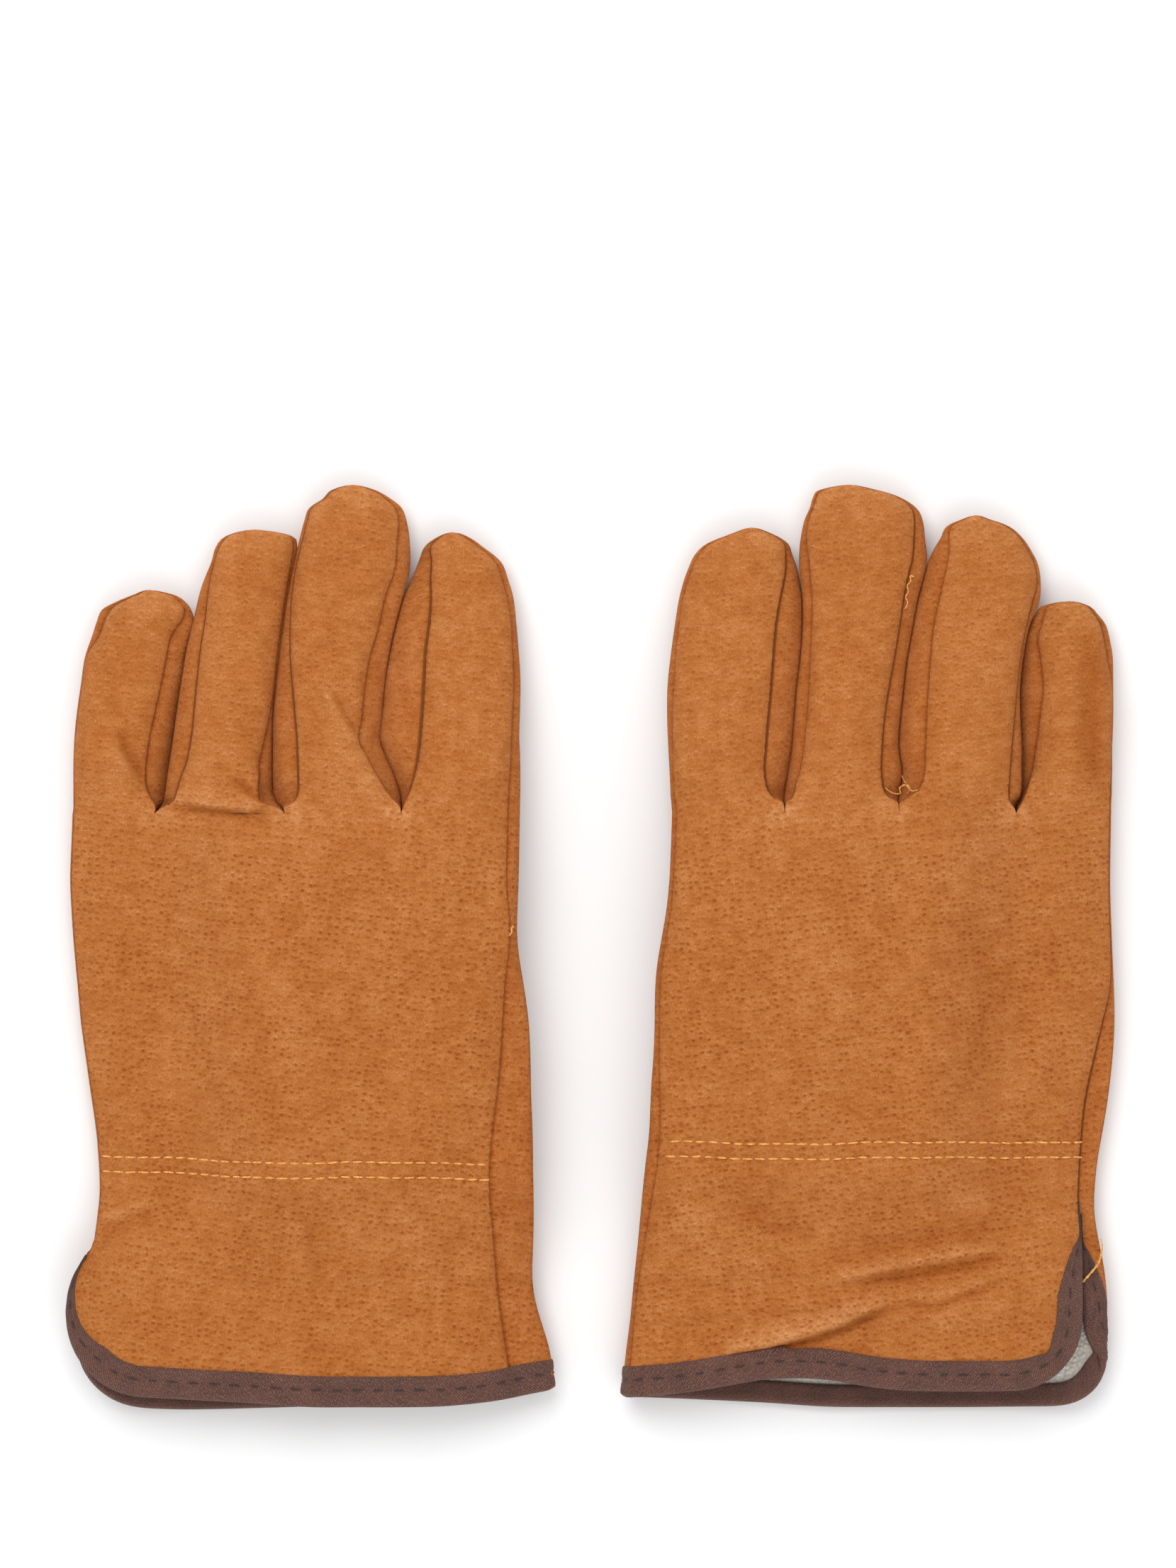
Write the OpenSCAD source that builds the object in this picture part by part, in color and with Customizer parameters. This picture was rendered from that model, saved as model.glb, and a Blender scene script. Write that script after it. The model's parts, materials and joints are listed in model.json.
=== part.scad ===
// A pair of lined leather work gloves, lying palm down with the fingers along +Y.
// The little finger of the left glove is at -X and that of the right glove at +X.
// Both thumbs lie folded under their palms. Millimetres, +Z up, Z = 0 is the bench.

/* [Materials] */
// Thickness of the suede leather
leather_t = 1.2; // [0.8:0.1:1.6]
// Thickness of the fleece lining
lining_t = 1.2; // [0.8:0.1:1.6]
// Thickness of the folded binding tape on one face
tape_t = 0.6; // [0.4:0.1:0.8]
// Width of the binding tape on one face
tape_w = 7.8; // [6:0.2:10]
// Thickness of the wrist elastic
elastic_t = 0.8; // [0.5:0.1:1.2]

/* [Hand] */
// Y where the hand shell ends and the knuckle leather begins
hand_end = 38; // [36:0.5:39]
// Outer height of the hand at the knuckles
knuckle_h = 15; // [14:0.5:16]
// Outer height of the hand at the wrist
wrist_h = 13; // [12:0.5:15]
// How far the palm is raised by the thumb folded under it
palm_lift = 11.6; // [11.4:0.1:13]
// Gap of the side seam between back and palm
seam_gap = 0.16; // [0.1:0.02:0.3]

/* [Fingers] */
// Distance of the knuckle hinges from the hand end and from the finger roots
knuckle_reach = 7; // [6:0.5:8]
// Height of a finger at its root
finger_h = 15; // [13:0.5:16]
// Height of a finger near its tip
fingertip_h = 12.5; // [11:0.5:14]
// Length of the rounded fingertip
tip_round = 15; // [10:1:20]

/* [Thumbs] */
// Reach of a thumb from its swing axis
thumb_l = 58; // [50:1:60]
// Width of a thumb at its root
thumb_root_w = 31; // [28:1:34]
// Width of a thumb near its tip
thumb_tip_w = 25; // [22:1:28]
// Height of a thumb
thumb_h = 11; // [10:0.2:11]
// Angle of a resting thumb from the +Y direction, towards the little finger
thumb_rest = 50; // [45:1:55]

/* [Stitching] */
// Pitch of the wrist stitches
stitch_pitch = 3.4; // [3:0.2:6]
// Length of a wrist stitch
stitch_l = 2.6; // [2:0.2:5]
// Distance between the two rows of wrist stitching
stitch_rows = 4.2; // [3:0.2:6]
// Pitch of the stitches in the binding
tape_pitch = 5.5; // [4:0.5:8]
// Radius of the sewing thread
thread_r = 0.3; // [0.2:0.05:0.4]

/* [Hidden] */

// Colours of the materials
SUEDE = "#c8803c";
SUEDE_EDGE = "#b06a30";
FLEECE = "#d9d7cd";
TAPE = "#5f413a";
TAPE_THREAD = "#3a2320";
GOLD_THREAD = "#dc963c";
ELASTIC = "#efece2";

skin_t = leather_t + lining_t; // leather and lining together
wall_t = skin_t + tape_t;      // depth of the bound edge under the leather's face

// Outline of the flat hand, as [y, x at the little finger side, x at the thumb side]
LEFT_OUTLINE = [
    [-125, -141.7, -8.7], [-111, -141.7, -8.7], [-96, -141.7, -14], [-84, -137.5, -15],
    [-73, -132.2, -14.6], [-58, -132.4, -14.8], [-35, -135.2, -15.6], [-16, -137.5, -16.2],
    [-2, -139, -19], [15, -140, -18.6], [38, -139.2, -18.3]
];
RIGHT_OUTLINE = [
    [-125, 140.6, 8.7], [-104, 140.6, 10.8], [-84, 138, 13], [-73, 136, 14], [-58, 137.5, 15.4],
    [-35, 141.2, 17.1], [-20, 142.3, 17.9], [-8, 141.8, 18.1], [3, 141.5, 19.8],
    [15, 141.1, 21.6], [38, 141.3, 22.4]
];

// Each finger: [knuckle x, lean from +Y towards +X in degrees, length from the knuckle,
//               root width, middle width, tip width, hand share from, hand share to]
LEFT_FINGERS = [
    [-35.9, 0.8, 67, 33.2, 33, 26.4, 0.735, 1],
    [-70.5, 5.8, 80.2, 28.3, 28.3, 29.3, 0.455, 0.735],
    [-99.5, 7.2, 68, 26, 24, 23, 0.225, 0.455],
    [-126.4, 9.2, 52.2, 24.5, 25.3, 23.6, 0, 0.225]
];
RIGHT_FINGERS = [
    [37.9, 4, 68.4, 31.5, 33.4, 30, 0.735, 1],
    [68.9, 4.9, 80.2, 27.5, 28, 31.3, 0.49, 0.735],
    [99.2, 6.7, 71.8, 30, 29.3, 29.6, 0.225, 0.49],
    [129.3, 1.2, 48.4, 23.8, 24, 21.6, 0, 0.225]
];

// Each cuff: [hem y of the back, hem y of the palm, hem y at the thumb side, corner radius,
//             inset of the back's vent edge, inset of the palm's vent edge, openness of the vent,
//             y of the vent's top, y of the wrist elastic]
LEFT_CUFF = [-122.6, -125, -119.5, 21, 0, 3, 0.3, -82, -59.3];
RIGHT_CUFF = [-118.4, -124.6, -120.8, 19, 7, 0, 0.55, -74, -54.2];

// A glove: [side of the thumb, outline, fingers, cuff]
LEFT = [1, LEFT_OUTLINE, LEFT_FINGERS, LEFT_CUFF];
RIGHT = [-1, RIGHT_OUTLINE, RIGHT_FINGERS, RIGHT_CUFF];
INDEX = 0;
MIDDLE = 1;
RING = 2;
LITTLE = 3;

// Places across the hand, from the little finger side (0) to the thumb side (1)
ACROSS = [0, 0.02, 0.06, 0.13, 0.21, 0.31, 0.42, 0.54, 0.66, 0.75, 0.9, 0.96, 1];
LAST = len(ACROSS) - 1;
GRID_COLS = 2 * LAST;
// Rows down the hand above the wrist, then the share of the cuff below the vent's top
HAND_ROWS = [hand_end, 27, 12, -2, -12, -22, -33.5, -45];
HOLE_ROW = 5;  // the thumb hole spans two rows of cells from here
HOLE_COL = 14; // and one column of the palm
GRID_ROWS = len(HAND_ROWS) + 5;
BACK_COLS = LAST - 1; // the palm leather wraps up to this column on the back

// Height of the hand and lift of the palm, by y
HAND_H = [[-125, 14], [-84, 14.5], [-58, wrist_h], [-20, 14.5], [38, knuckle_h]];
LIFT = [[-92, 0], [-82, 2.5], [-62, palm_lift], [28, palm_lift], [38, 8.5]];
// Room under the cuff for the binding, by y
BASE = [[-96, tape_t], [-70, 0]];

// Places along a finger, from its root (0) to its tip (1), and divisions round it
ALONG = [0, 0.25, 0.5, 0.72, 0.86, 0.95, 0.99, 1];
ROUND = 16;
SQUARENESS = 0.8;   // exponent of the finger's section, 1 is an ellipse
TIP_MIN = 0.035;    // what is left of the section at the very tip

function lerp(a, b, t) = a + (b - a) * t;
function clamp(t) = min(1, max(0, t));
function smooth(a, b, v) = let (t = clamp((v - a) / (b - a))) t * t * (3 - 2 * t);
function column(table, c) = [for (row = table) [row[0], row[c]]];
function signed_pow(v, e) = sign(v) * pow(abs(v), e);

// ---- the hand as one surface, rolled from the vent edge of the back to that of the palm ----

function hem(g, top, u) =
    let (r = g[3][3], e = u * abs(g[1][0][2] - g[1][0][1]), y = top ? g[3][0] : g[3][1])
    lerp(y, g[3][2], smooth(0.8, 1, u)) + (e < r ? r - sqrt(r * r - (r - e) * (r - e)) : 0);

function row_y(g, i, top, u) =
    let (n = len(HAND_ROWS), edge = hem(g, top, u))
    i < n ? HAND_ROWS[i]
    : i == n ? g[3][8] + 3.5
    : i == n + 1 ? g[3][8] - 3.5
    : i == n + 2 ? g[3][7]
    : i == n + 3 ? lerp(g[3][7], edge + tape_w, 0.5)
    : i == n + 4 ? edge + tape_w
    : edge;

function vent(g, y) = smooth(g[3][7] + 2, g[3][7] - 12, y);
function little_x(g, y, top) =
    lookup(y, column(g[1], 1)) + g[0] * vent(g, y) * (top ? g[3][4] : g[3][5]);
function thumb_x(g, y) = lookup(y, column(g[1], 2));
function mid_z(y, u) =
    lookup(y, BASE) + lookup(y, HAND_H) / 2 + lookup(y, LIFT) * smooth(0.18, 0.42, u);
function crown(g, y, u) =
    let (p = pow(sin(180 * clamp(u)), 0.3))
    u < 0.5 ? lerp(p, max(p, g[3][6]), vent(g, y)) : p;
function half_z(g, y, u, d) = (lookup(y, HAND_H) / 2 - d) * crown(g, y, u);

function hand_point(g, i, j, d) =
    let (
        top = j <= LAST,
        u = ACROSS[top ? j : GRID_COLS - j],
        y = row_y(g, i, top, u),
        x0 = little_x(g, y, top) + g[0] * d,
        x1 = thumb_x(g, y) - g[0] * d,
        rise = j == LAST ? 0 : max(half_z(g, y, u, d), seam_gap / 2)
    )
    [lerp(x0, x1, u), y, mid_z(y, u) + (top ? rise : -rise)];

function hand_layer(g, d) =
    [for (i = [0 : GRID_ROWS]) [for (j = [0 : GRID_COLS]) hand_point(g, i, j, d)]];

function bound(i, j) =
    i == GRID_ROWS - 1 || (i >= len(HAND_ROWS) + 2 && (j < 2 || j >= GRID_COLS - 2));
function thumb_hole(i, j) = (i == HOLE_ROW || i == HOLE_ROW + 1) && j == HOLE_COL;
function open_cell(i, j) = bound(i, j) || thumb_hole(i, j);

// ---- a wall between an outer and an inner grid of points, over the cells that are kept ----

module wall(outer, inner, keep, wrap = false, flip = false) {
    rows = len(outer) - 1;
    per = len(outer[0]);
    cols = wrap ? per : per - 1;
    count = (rows + 1) * per;
    function o(i, j) = i * per + j % per;
    function n(i, j) = count + o(i, j);
    function kept(i, j) =
        i >= 0 && i < rows && (wrap ? keep[i][(j + cols) % cols] : j >= 0 && j < cols && keep[i][j]);
    faces = [
        for (i = [0 : rows - 1]) for (j = [0 : cols - 1]) if (kept(i, j)) each concat(
            [
                [o(i, j), o(i, j + 1), o(i + 1, j + 1)], [o(i, j), o(i + 1, j + 1), o(i + 1, j)],
                [n(i, j), n(i + 1, j + 1), n(i, j + 1)], [n(i, j), n(i + 1, j), n(i + 1, j + 1)]
            ],
            kept(i - 1, j) ? [] : [
                [o(i, j + 1), o(i, j), n(i, j + 1)], [o(i, j), n(i, j), n(i, j + 1)]
            ],
            kept(i + 1, j) ? [] : [
                [o(i + 1, j), o(i + 1, j + 1), n(i + 1, j + 1)],
                [o(i + 1, j), n(i + 1, j + 1), n(i + 1, j)]
            ],
            kept(i, j - 1) ? [] : [
                [o(i, j), o(i + 1, j), n(i + 1, j)], [o(i, j), n(i + 1, j), n(i, j)]
            ],
            kept(i, j + 1) ? [] : [
                [o(i + 1, j + 1), o(i, j + 1), n(i + 1, j + 1)],
                [o(i, j + 1), n(i, j + 1), n(i + 1, j + 1)]
            ]
        )
    ];
    polyhedron(
        points = concat([for (row = outer) each row], [for (row = inner) each row]),
        faces = flip ? [for (f = faces) [f[2], f[1], f[0]]] : faces
    );
}

module hand_wall(g, d0, d1, keep) {
    wall(hand_layer(g, d0), hand_layer(g, d1), keep, flip = g[0] < 0);
}

// ---- a finger or thumb, along +Y from its own origin, with the bench at Z = 0 ----

// Shape of a stall: [start, length, root width, middle width, tip width, root height, tip height,
//                    underside at the root]
function stall_width(s, y) =
    let (t = (y - s[0]) / (s[1] - s[0]))
    t < 0.5 ? lerp(s[2], s[3], 2 * t) : lerp(s[3], s[4], 2 * t - 1);
function underside(s, y) = s[7] * (1 - clamp(y / (0.8 * s[1])));
function stall_height(s, y) = lerp(s[5], s[6], smooth(s[0], s[1], y));

function stall_point(s, t, a, d) =
    let (
        reach = s[1] - d,
        y = lerp(s[0], reach, t),
        v = clamp((y - reach + tip_round) / tip_round),
        cap = max(TIP_MIN, pow(1 - pow(v, 2.4), 1 / 2.4)),
        h = stall_height(s, y),
        half_w = (stall_width(s, y) / 2 - d) * cap,
        half_h = (h / 2 - d) * cap
    )
    [
        half_w * signed_pow(cos(a), SQUARENESS), y,
        underside(s, y) + h / 2 + half_h * signed_pow(sin(a), SQUARENESS)
    ];
function stall_layer(s, d) =
    [for (t = ALONG) [for (j = [0 : ROUND - 1]) stall_point(s, t, j * 360 / ROUND, d)]];

module stall_wall(s, d0, d1, columns) {
    keep = [for (i = [1 : len(ALONG) - 1]) [for (j = [0 : ROUND - 1]) len(search(j, columns)) > 0]];
    wall(stall_layer(s, d0), stall_layer(s, d1), keep, wrap = true);
}

ALL_COLS = [for (j = [0 : ROUND - 1]) j];
BACK_STALL = [1, 2, 3, 4, 5, 6];
PALM_STALL = [9, 10, 11, 12, 13, 14];
PLUS_X_SIDE = [15, 0];
MINUS_X_SIDE = [7, 8];

// The palm leather goes round the outer side of the index and of the little finger
function outer_side(g, f) =
    f == INDEX ? (g[0] > 0 ? PLUS_X_SIDE : MINUS_X_SIDE)
    : f == LITTLE ? (g[0] > 0 ? MINUS_X_SIDE : PLUS_X_SIDE)
    : [];
function inner_sides(g, f) =
    [for (j = concat(PLUS_X_SIDE, MINUS_X_SIDE)) if (len(search(j, outer_side(g, f))) == 0) j];

function share_mid(q) = (q[6] + q[7]) / 2;
function finger_floor(q) = mid_z(hand_end, share_mid(q)) - knuckle_h / 2;
function finger_shape(g, f) =
    let (q = g[2][f])
    [knuckle_reach, q[2], q[3], q[4], q[5], finger_h, fingertip_h, finger_floor(q)];
KNUCKLE_Y = hand_end + knuckle_reach;

module at_knuckle(g, f) {
    translate([g[2][f][0], KNUCKLE_Y, 0]) rotate([0, 0, -g[2][f][1]]) children();
}

// A ring of leather or lining from the hand's end to a finger's root
function hand_ring(g, q, d) =
    [
        for (j = [0 : ROUND - 1])
            let (
                a = j * 360 / ROUND,
                x0 = lerp(little_x(g, hand_end, true), thumb_x(g, hand_end), q[6]),
                x1 = lerp(little_x(g, hand_end, true), thumb_x(g, hand_end), q[7]),
                half = abs(x1 - x0) / 2 - d - seam_gap,
                x = (x0 + x1) / 2 + half * signed_pow(cos(a), SQUARENESS),
                u = (x - little_x(g, hand_end, true)) /
                    (thumb_x(g, hand_end) - little_x(g, hand_end, true))
            )
            [x, hand_end, mid_z(hand_end, u) + (knuckle_h / 2 - d) * signed_pow(sin(a), SQUARENESS)]
    ];
function finger_ring(g, f, d) =
    let (q = g[2][f], s = finger_shape(g, f))
    [
        for (j = [0 : ROUND - 1])
            let (p = stall_point(s, 0, j * 360 / ROUND, d))
            [
                q[0] + p[0] * cos(q[1]) + p[1] * sin(q[1]),
                KNUCKLE_Y - p[0] * sin(q[1]) + p[1] * cos(q[1]),
                p[2]
            ]
    ];
module knuckle_ring(g, f, d0, d1) {
    wall(
        [hand_ring(g, g[2][f], d0), finger_ring(g, f, d0)],
        [hand_ring(g, g[2][f], d1), finger_ring(g, f, d1)],
        [[for (j = [0 : ROUND - 1]) true]], wrap = true
    );
}

// The thumb turns about the middle of its hole in the palm
THUMB_HOLE_U = (ACROSS[9] + ACROSS[10]) / 2;
THUMB_Y = HAND_ROWS[HOLE_ROW + 1];
THUMB_START = 13;
THUMB = [
    THUMB_START, thumb_l, thumb_root_w, (thumb_root_w + thumb_tip_w) / 2, thumb_tip_w,
    thumb_h, thumb_h - 0.5, 0
];
function thumb_axis_x(g) =
    lerp(little_x(g, THUMB_Y, false), thumb_x(g, THUMB_Y), THUMB_HOLE_U);

module at_thumb(g) {
    translate([thumb_axis_x(g), THUMB_Y, 0]) rotate([0, 0, g[0] * thumb_rest]) children();
}

// ---- the pieces ----

module back_panel(g) {
    color(SUEDE) hand_wall(g, 0, leather_t,
        [for (i = [0 : GRID_ROWS - 1]) [for (j = [0 : GRID_COLS - 1]) j < BACK_COLS && !open_cell(i, j)]]);
}

module palm_panel(g) {
    color(SUEDE_EDGE) hand_wall(g, 0, leather_t,
        [for (i = [0 : GRID_ROWS - 1]) [for (j = [0 : GRID_COLS - 1]) j >= BACK_COLS && !open_cell(i, j)]]);
}

module hand_lining(g) {
    color(FLEECE) hand_wall(g, leather_t, skin_t,
        [for (i = [0 : GRID_ROWS - 1]) [for (j = [0 : GRID_COLS - 1]) !open_cell(i, j)]]);
}

module wrist_elastic(g) {
    band = len(HAND_ROWS);
    color(ELASTIC) hand_wall(g, skin_t, skin_t + elastic_t,
        [for (i = [0 : GRID_ROWS - 1]) [for (j = [0 : GRID_COLS - 1]) i == band && j > 1 && j < LAST - 2]]);
}

// The folded tape and the raw edges that it holds, as one bead along vent and hem
module cuff_binding(g) {
    color(TAPE) hand_wall(g, -tape_t, wall_t,
        [for (i = [0 : GRID_ROWS - 1]) [for (j = [0 : GRID_COLS - 1]) bound(i, j)]]);
}

// A stitch that lies along a chord between two points of a surface
module stitch(a, b) {
    v = b - a;
    translate((a + b) / 2)
        rotate([0, 90 - asin(v[2] / norm(v)), atan2(v[1], v[0])])
            cylinder(h = norm(v), r = thread_r, center = true, $fn = 14);
}

STITCH_GAP = 0.18; // the stitches lie this far above the leather or tape
function across_at(g, x, y) =
    let (x0 = little_x(g, y, true)) (x - x0) / (thumb_x(g, y) - x0);
function row_z(g, i, u) = lookup(u, [for (j = [0 : LAST]) [ACROSS[j], hand_point(g, i, j, 0)[2]]]);

// A point above the flat facets of the back between the two rows of the wrist
function wrist_point(g, x, y) =
    let (
        i = len(HAND_ROWS),
        u = across_at(g, x, y),
        t = (row_y(g, i, true, u) - y) / (row_y(g, i, true, u) - row_y(g, i + 1, true, u))
    )
    [x, y, lerp(row_z(g, i, u), row_z(g, i + 1, u), t) + thread_r + STITCH_GAP];

function tape_point(g, x, y) =
    let (u = across_at(g, x, y))
    [x, y, mid_z(y, u) + half_z(g, y, u, 0) + tape_t + thread_r + STITCH_GAP];

module wrist_stitching(g) {
    y = g[3][8];
    from = lerp(little_x(g, y, true), thumb_x(g, y), 0.04);
    length = abs(lerp(little_x(g, y, true), thumb_x(g, y), 0.94) - from);
    color(GOLD_THREAD)
        for (row = [-0.5, 0.5], k = [0 : floor(length / stitch_pitch) - 1])
            let (x = from + g[0] * k * stitch_pitch, ys = y + row * stitch_rows)
                stitch(wrist_point(g, x, ys), wrist_point(g, x + g[0] * stitch_l, ys));
}

module binding_stitching(g) {
    y = g[3][0];
    from = lerp(little_x(g, y, true), thumb_x(g, y), 0.1);
    length = abs(lerp(little_x(g, y, true), thumb_x(g, y), 0.96) - from);
    span = abs(g[1][0][2] - g[1][0][1]);
    color(TAPE_THREAD)
        for (k = [0 : floor(length / tape_pitch) - 1])
            let (
                x = from + g[0] * k * tape_pitch,
                x1 = x + g[0] * tape_pitch * 0.6,
                u0 = 0.1 + k * tape_pitch / span,
                u1 = u0 + 0.6 * tape_pitch / span
            )
                stitch(
                    tape_point(g, x, hem(g, true, u0) + tape_w / 2),
                    tape_point(g, x1, hem(g, true, u1) + tape_w / 2)
                );
}

module knuckle_leather(g) {
    color(SUEDE) for (f = [INDEX : LITTLE]) knuckle_ring(g, f, 0, leather_t);
}

module knuckle_lining(g) {
    color(FLEECE) for (f = [INDEX : LITTLE]) knuckle_ring(g, f, leather_t, skin_t);
}

module finger_back(g, f) {
    color(SUEDE) at_knuckle(g, f) stall_wall(finger_shape(g, f), 0, leather_t, BACK_STALL);
}

module finger_palm(g, f) {
    color(SUEDE_EDGE) at_knuckle(g, f)
        stall_wall(finger_shape(g, f), 0, leather_t, concat(PALM_STALL, outer_side(g, f)));
}

module finger_fourchettes(g, f) {
    color(SUEDE_EDGE) at_knuckle(g, f)
        stall_wall(finger_shape(g, f), 0, leather_t, inner_sides(g, f));
}

module finger_lining(g, f) {
    color(FLEECE) at_knuckle(g, f) stall_wall(finger_shape(g, f), leather_t, skin_t, ALL_COLS);
}

module thumb_outer(g) {
    color(SUEDE) at_thumb(g) stall_wall(THUMB, 0, leather_t, [8, 9, 10, 11, 12, 13, 14, 15]);
}

module thumb_inner(g) {
    color(SUEDE_EDGE) at_thumb(g) stall_wall(THUMB, 0, leather_t, [0, 1, 2, 3, 4, 5, 6, 7]);
}

module thumb_lining(g) {
    color(FLEECE) at_thumb(g) stall_wall(THUMB, leather_t, skin_t, ALL_COLS);
}

// The gusset that turns from the hole in the palm into the thumb
module thumb_root(g) {
    hole = [11, 10.5]; // half size of the gusset's upper end
    function upper(d) =
        [
            for (j = [0 : ROUND - 1])
                let (a = j * 360 / ROUND)
                [
                    (hole[0] - d) * signed_pow(cos(a), SQUARENESS),
                    (hole[1] - d) * signed_pow(sin(a), SQUARENESS),
                    thumb_h + 0.2
                ]
        ];
    function lower(d) = [for (j = [0 : ROUND - 1]) stall_point(THUMB, 0, j * 360 / ROUND, d)];
    color(SUEDE_EDGE) at_thumb(g)
        wall([upper(0), lower(0)], [upper(leather_t), lower(leather_t)],
            [[for (j = [0 : ROUND - 1]) true]], wrap = true);
}

back_panel(LEFT);  // left_back_panel
palm_panel(LEFT);  // left_palm_panel
hand_lining(LEFT);  // left_hand_lining
wrist_elastic(LEFT);  // left_wrist_elastic
cuff_binding(LEFT);  // left_cuff_binding
wrist_stitching(LEFT);  // left_wrist_stitching
binding_stitching(LEFT);  // left_binding_stitching
knuckle_leather(LEFT);  // left_knuckle_leather
knuckle_lining(LEFT);  // left_knuckle_lining
finger_back(LEFT, INDEX);  // left_index_back
finger_palm(LEFT, INDEX);  // left_index_palm
finger_fourchettes(LEFT, INDEX);  // left_index_fourchette
finger_lining(LEFT, INDEX);  // left_index_lining
finger_back(LEFT, MIDDLE);  // left_middle_back
finger_palm(LEFT, MIDDLE);  // left_middle_palm
finger_fourchettes(LEFT, MIDDLE);  // left_middle_fourchettes
finger_lining(LEFT, MIDDLE);  // left_middle_lining
finger_back(LEFT, RING);  // left_ring_back
finger_palm(LEFT, RING);  // left_ring_palm
finger_fourchettes(LEFT, RING);  // left_ring_fourchettes
finger_lining(LEFT, RING);  // left_ring_lining
finger_back(LEFT, LITTLE);  // left_little_back
finger_palm(LEFT, LITTLE);  // left_little_palm
finger_fourchettes(LEFT, LITTLE);  // left_little_fourchette
finger_lining(LEFT, LITTLE);  // left_little_lining
thumb_outer(LEFT);  // left_thumb_outer
thumb_inner(LEFT);  // left_thumb_inner
thumb_lining(LEFT);  // left_thumb_lining
thumb_root(LEFT);  // left_thumb_root

back_panel(RIGHT);  // right_back_panel
palm_panel(RIGHT);  // right_palm_panel
hand_lining(RIGHT);  // right_hand_lining
wrist_elastic(RIGHT);  // right_wrist_elastic
cuff_binding(RIGHT);  // right_cuff_binding
wrist_stitching(RIGHT);  // right_wrist_stitching
binding_stitching(RIGHT);  // right_binding_stitching
knuckle_leather(RIGHT);  // right_knuckle_leather
knuckle_lining(RIGHT);  // right_knuckle_lining
finger_back(RIGHT, INDEX);  // right_index_back
finger_palm(RIGHT, INDEX);  // right_index_palm
finger_fourchettes(RIGHT, INDEX);  // right_index_fourchette
finger_lining(RIGHT, INDEX);  // right_index_lining
finger_back(RIGHT, MIDDLE);  // right_middle_back
finger_palm(RIGHT, MIDDLE);  // right_middle_palm
finger_fourchettes(RIGHT, MIDDLE);  // right_middle_fourchettes
finger_lining(RIGHT, MIDDLE);  // right_middle_lining
finger_back(RIGHT, RING);  // right_ring_back
finger_palm(RIGHT, RING);  // right_ring_palm
finger_fourchettes(RIGHT, RING);  // right_ring_fourchettes
finger_lining(RIGHT, RING);  // right_ring_lining
finger_back(RIGHT, LITTLE);  // right_little_back
finger_palm(RIGHT, LITTLE);  // right_little_palm
finger_fourchettes(RIGHT, LITTLE);  // right_little_fourchette
finger_lining(RIGHT, LITTLE);  // right_little_lining
thumb_outer(RIGHT);  // right_thumb_outer
thumb_inner(RIGHT);  // right_thumb_inner
thumb_lining(RIGHT);  // right_thumb_lining
thumb_root(RIGHT);  // right_thumb_root
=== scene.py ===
import json
import math

import bpy
import numpy as np
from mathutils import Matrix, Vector
from mathutils.bvhtree import BVHTree


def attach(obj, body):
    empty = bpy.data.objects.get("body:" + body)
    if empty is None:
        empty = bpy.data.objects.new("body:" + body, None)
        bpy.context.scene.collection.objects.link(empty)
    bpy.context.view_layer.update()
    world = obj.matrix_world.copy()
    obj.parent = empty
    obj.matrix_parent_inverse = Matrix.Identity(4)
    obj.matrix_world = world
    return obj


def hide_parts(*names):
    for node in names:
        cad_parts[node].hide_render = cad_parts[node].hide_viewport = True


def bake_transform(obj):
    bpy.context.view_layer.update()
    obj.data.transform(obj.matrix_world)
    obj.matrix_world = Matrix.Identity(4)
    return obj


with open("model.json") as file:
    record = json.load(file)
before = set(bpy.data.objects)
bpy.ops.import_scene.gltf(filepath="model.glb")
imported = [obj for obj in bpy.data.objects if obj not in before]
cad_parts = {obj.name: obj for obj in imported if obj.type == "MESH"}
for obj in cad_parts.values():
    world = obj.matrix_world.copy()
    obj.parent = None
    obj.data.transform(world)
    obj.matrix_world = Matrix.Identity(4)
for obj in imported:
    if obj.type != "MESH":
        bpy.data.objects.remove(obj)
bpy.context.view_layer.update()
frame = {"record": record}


# ---- The leather of the two hands ----
# Each glove is sewn from a back panel and a palm panel of orange pigskin suede over a fleece lining,
# and lies palm down. The palm leather wraps round the thumb side, and the cuff is slit at the other.

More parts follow.
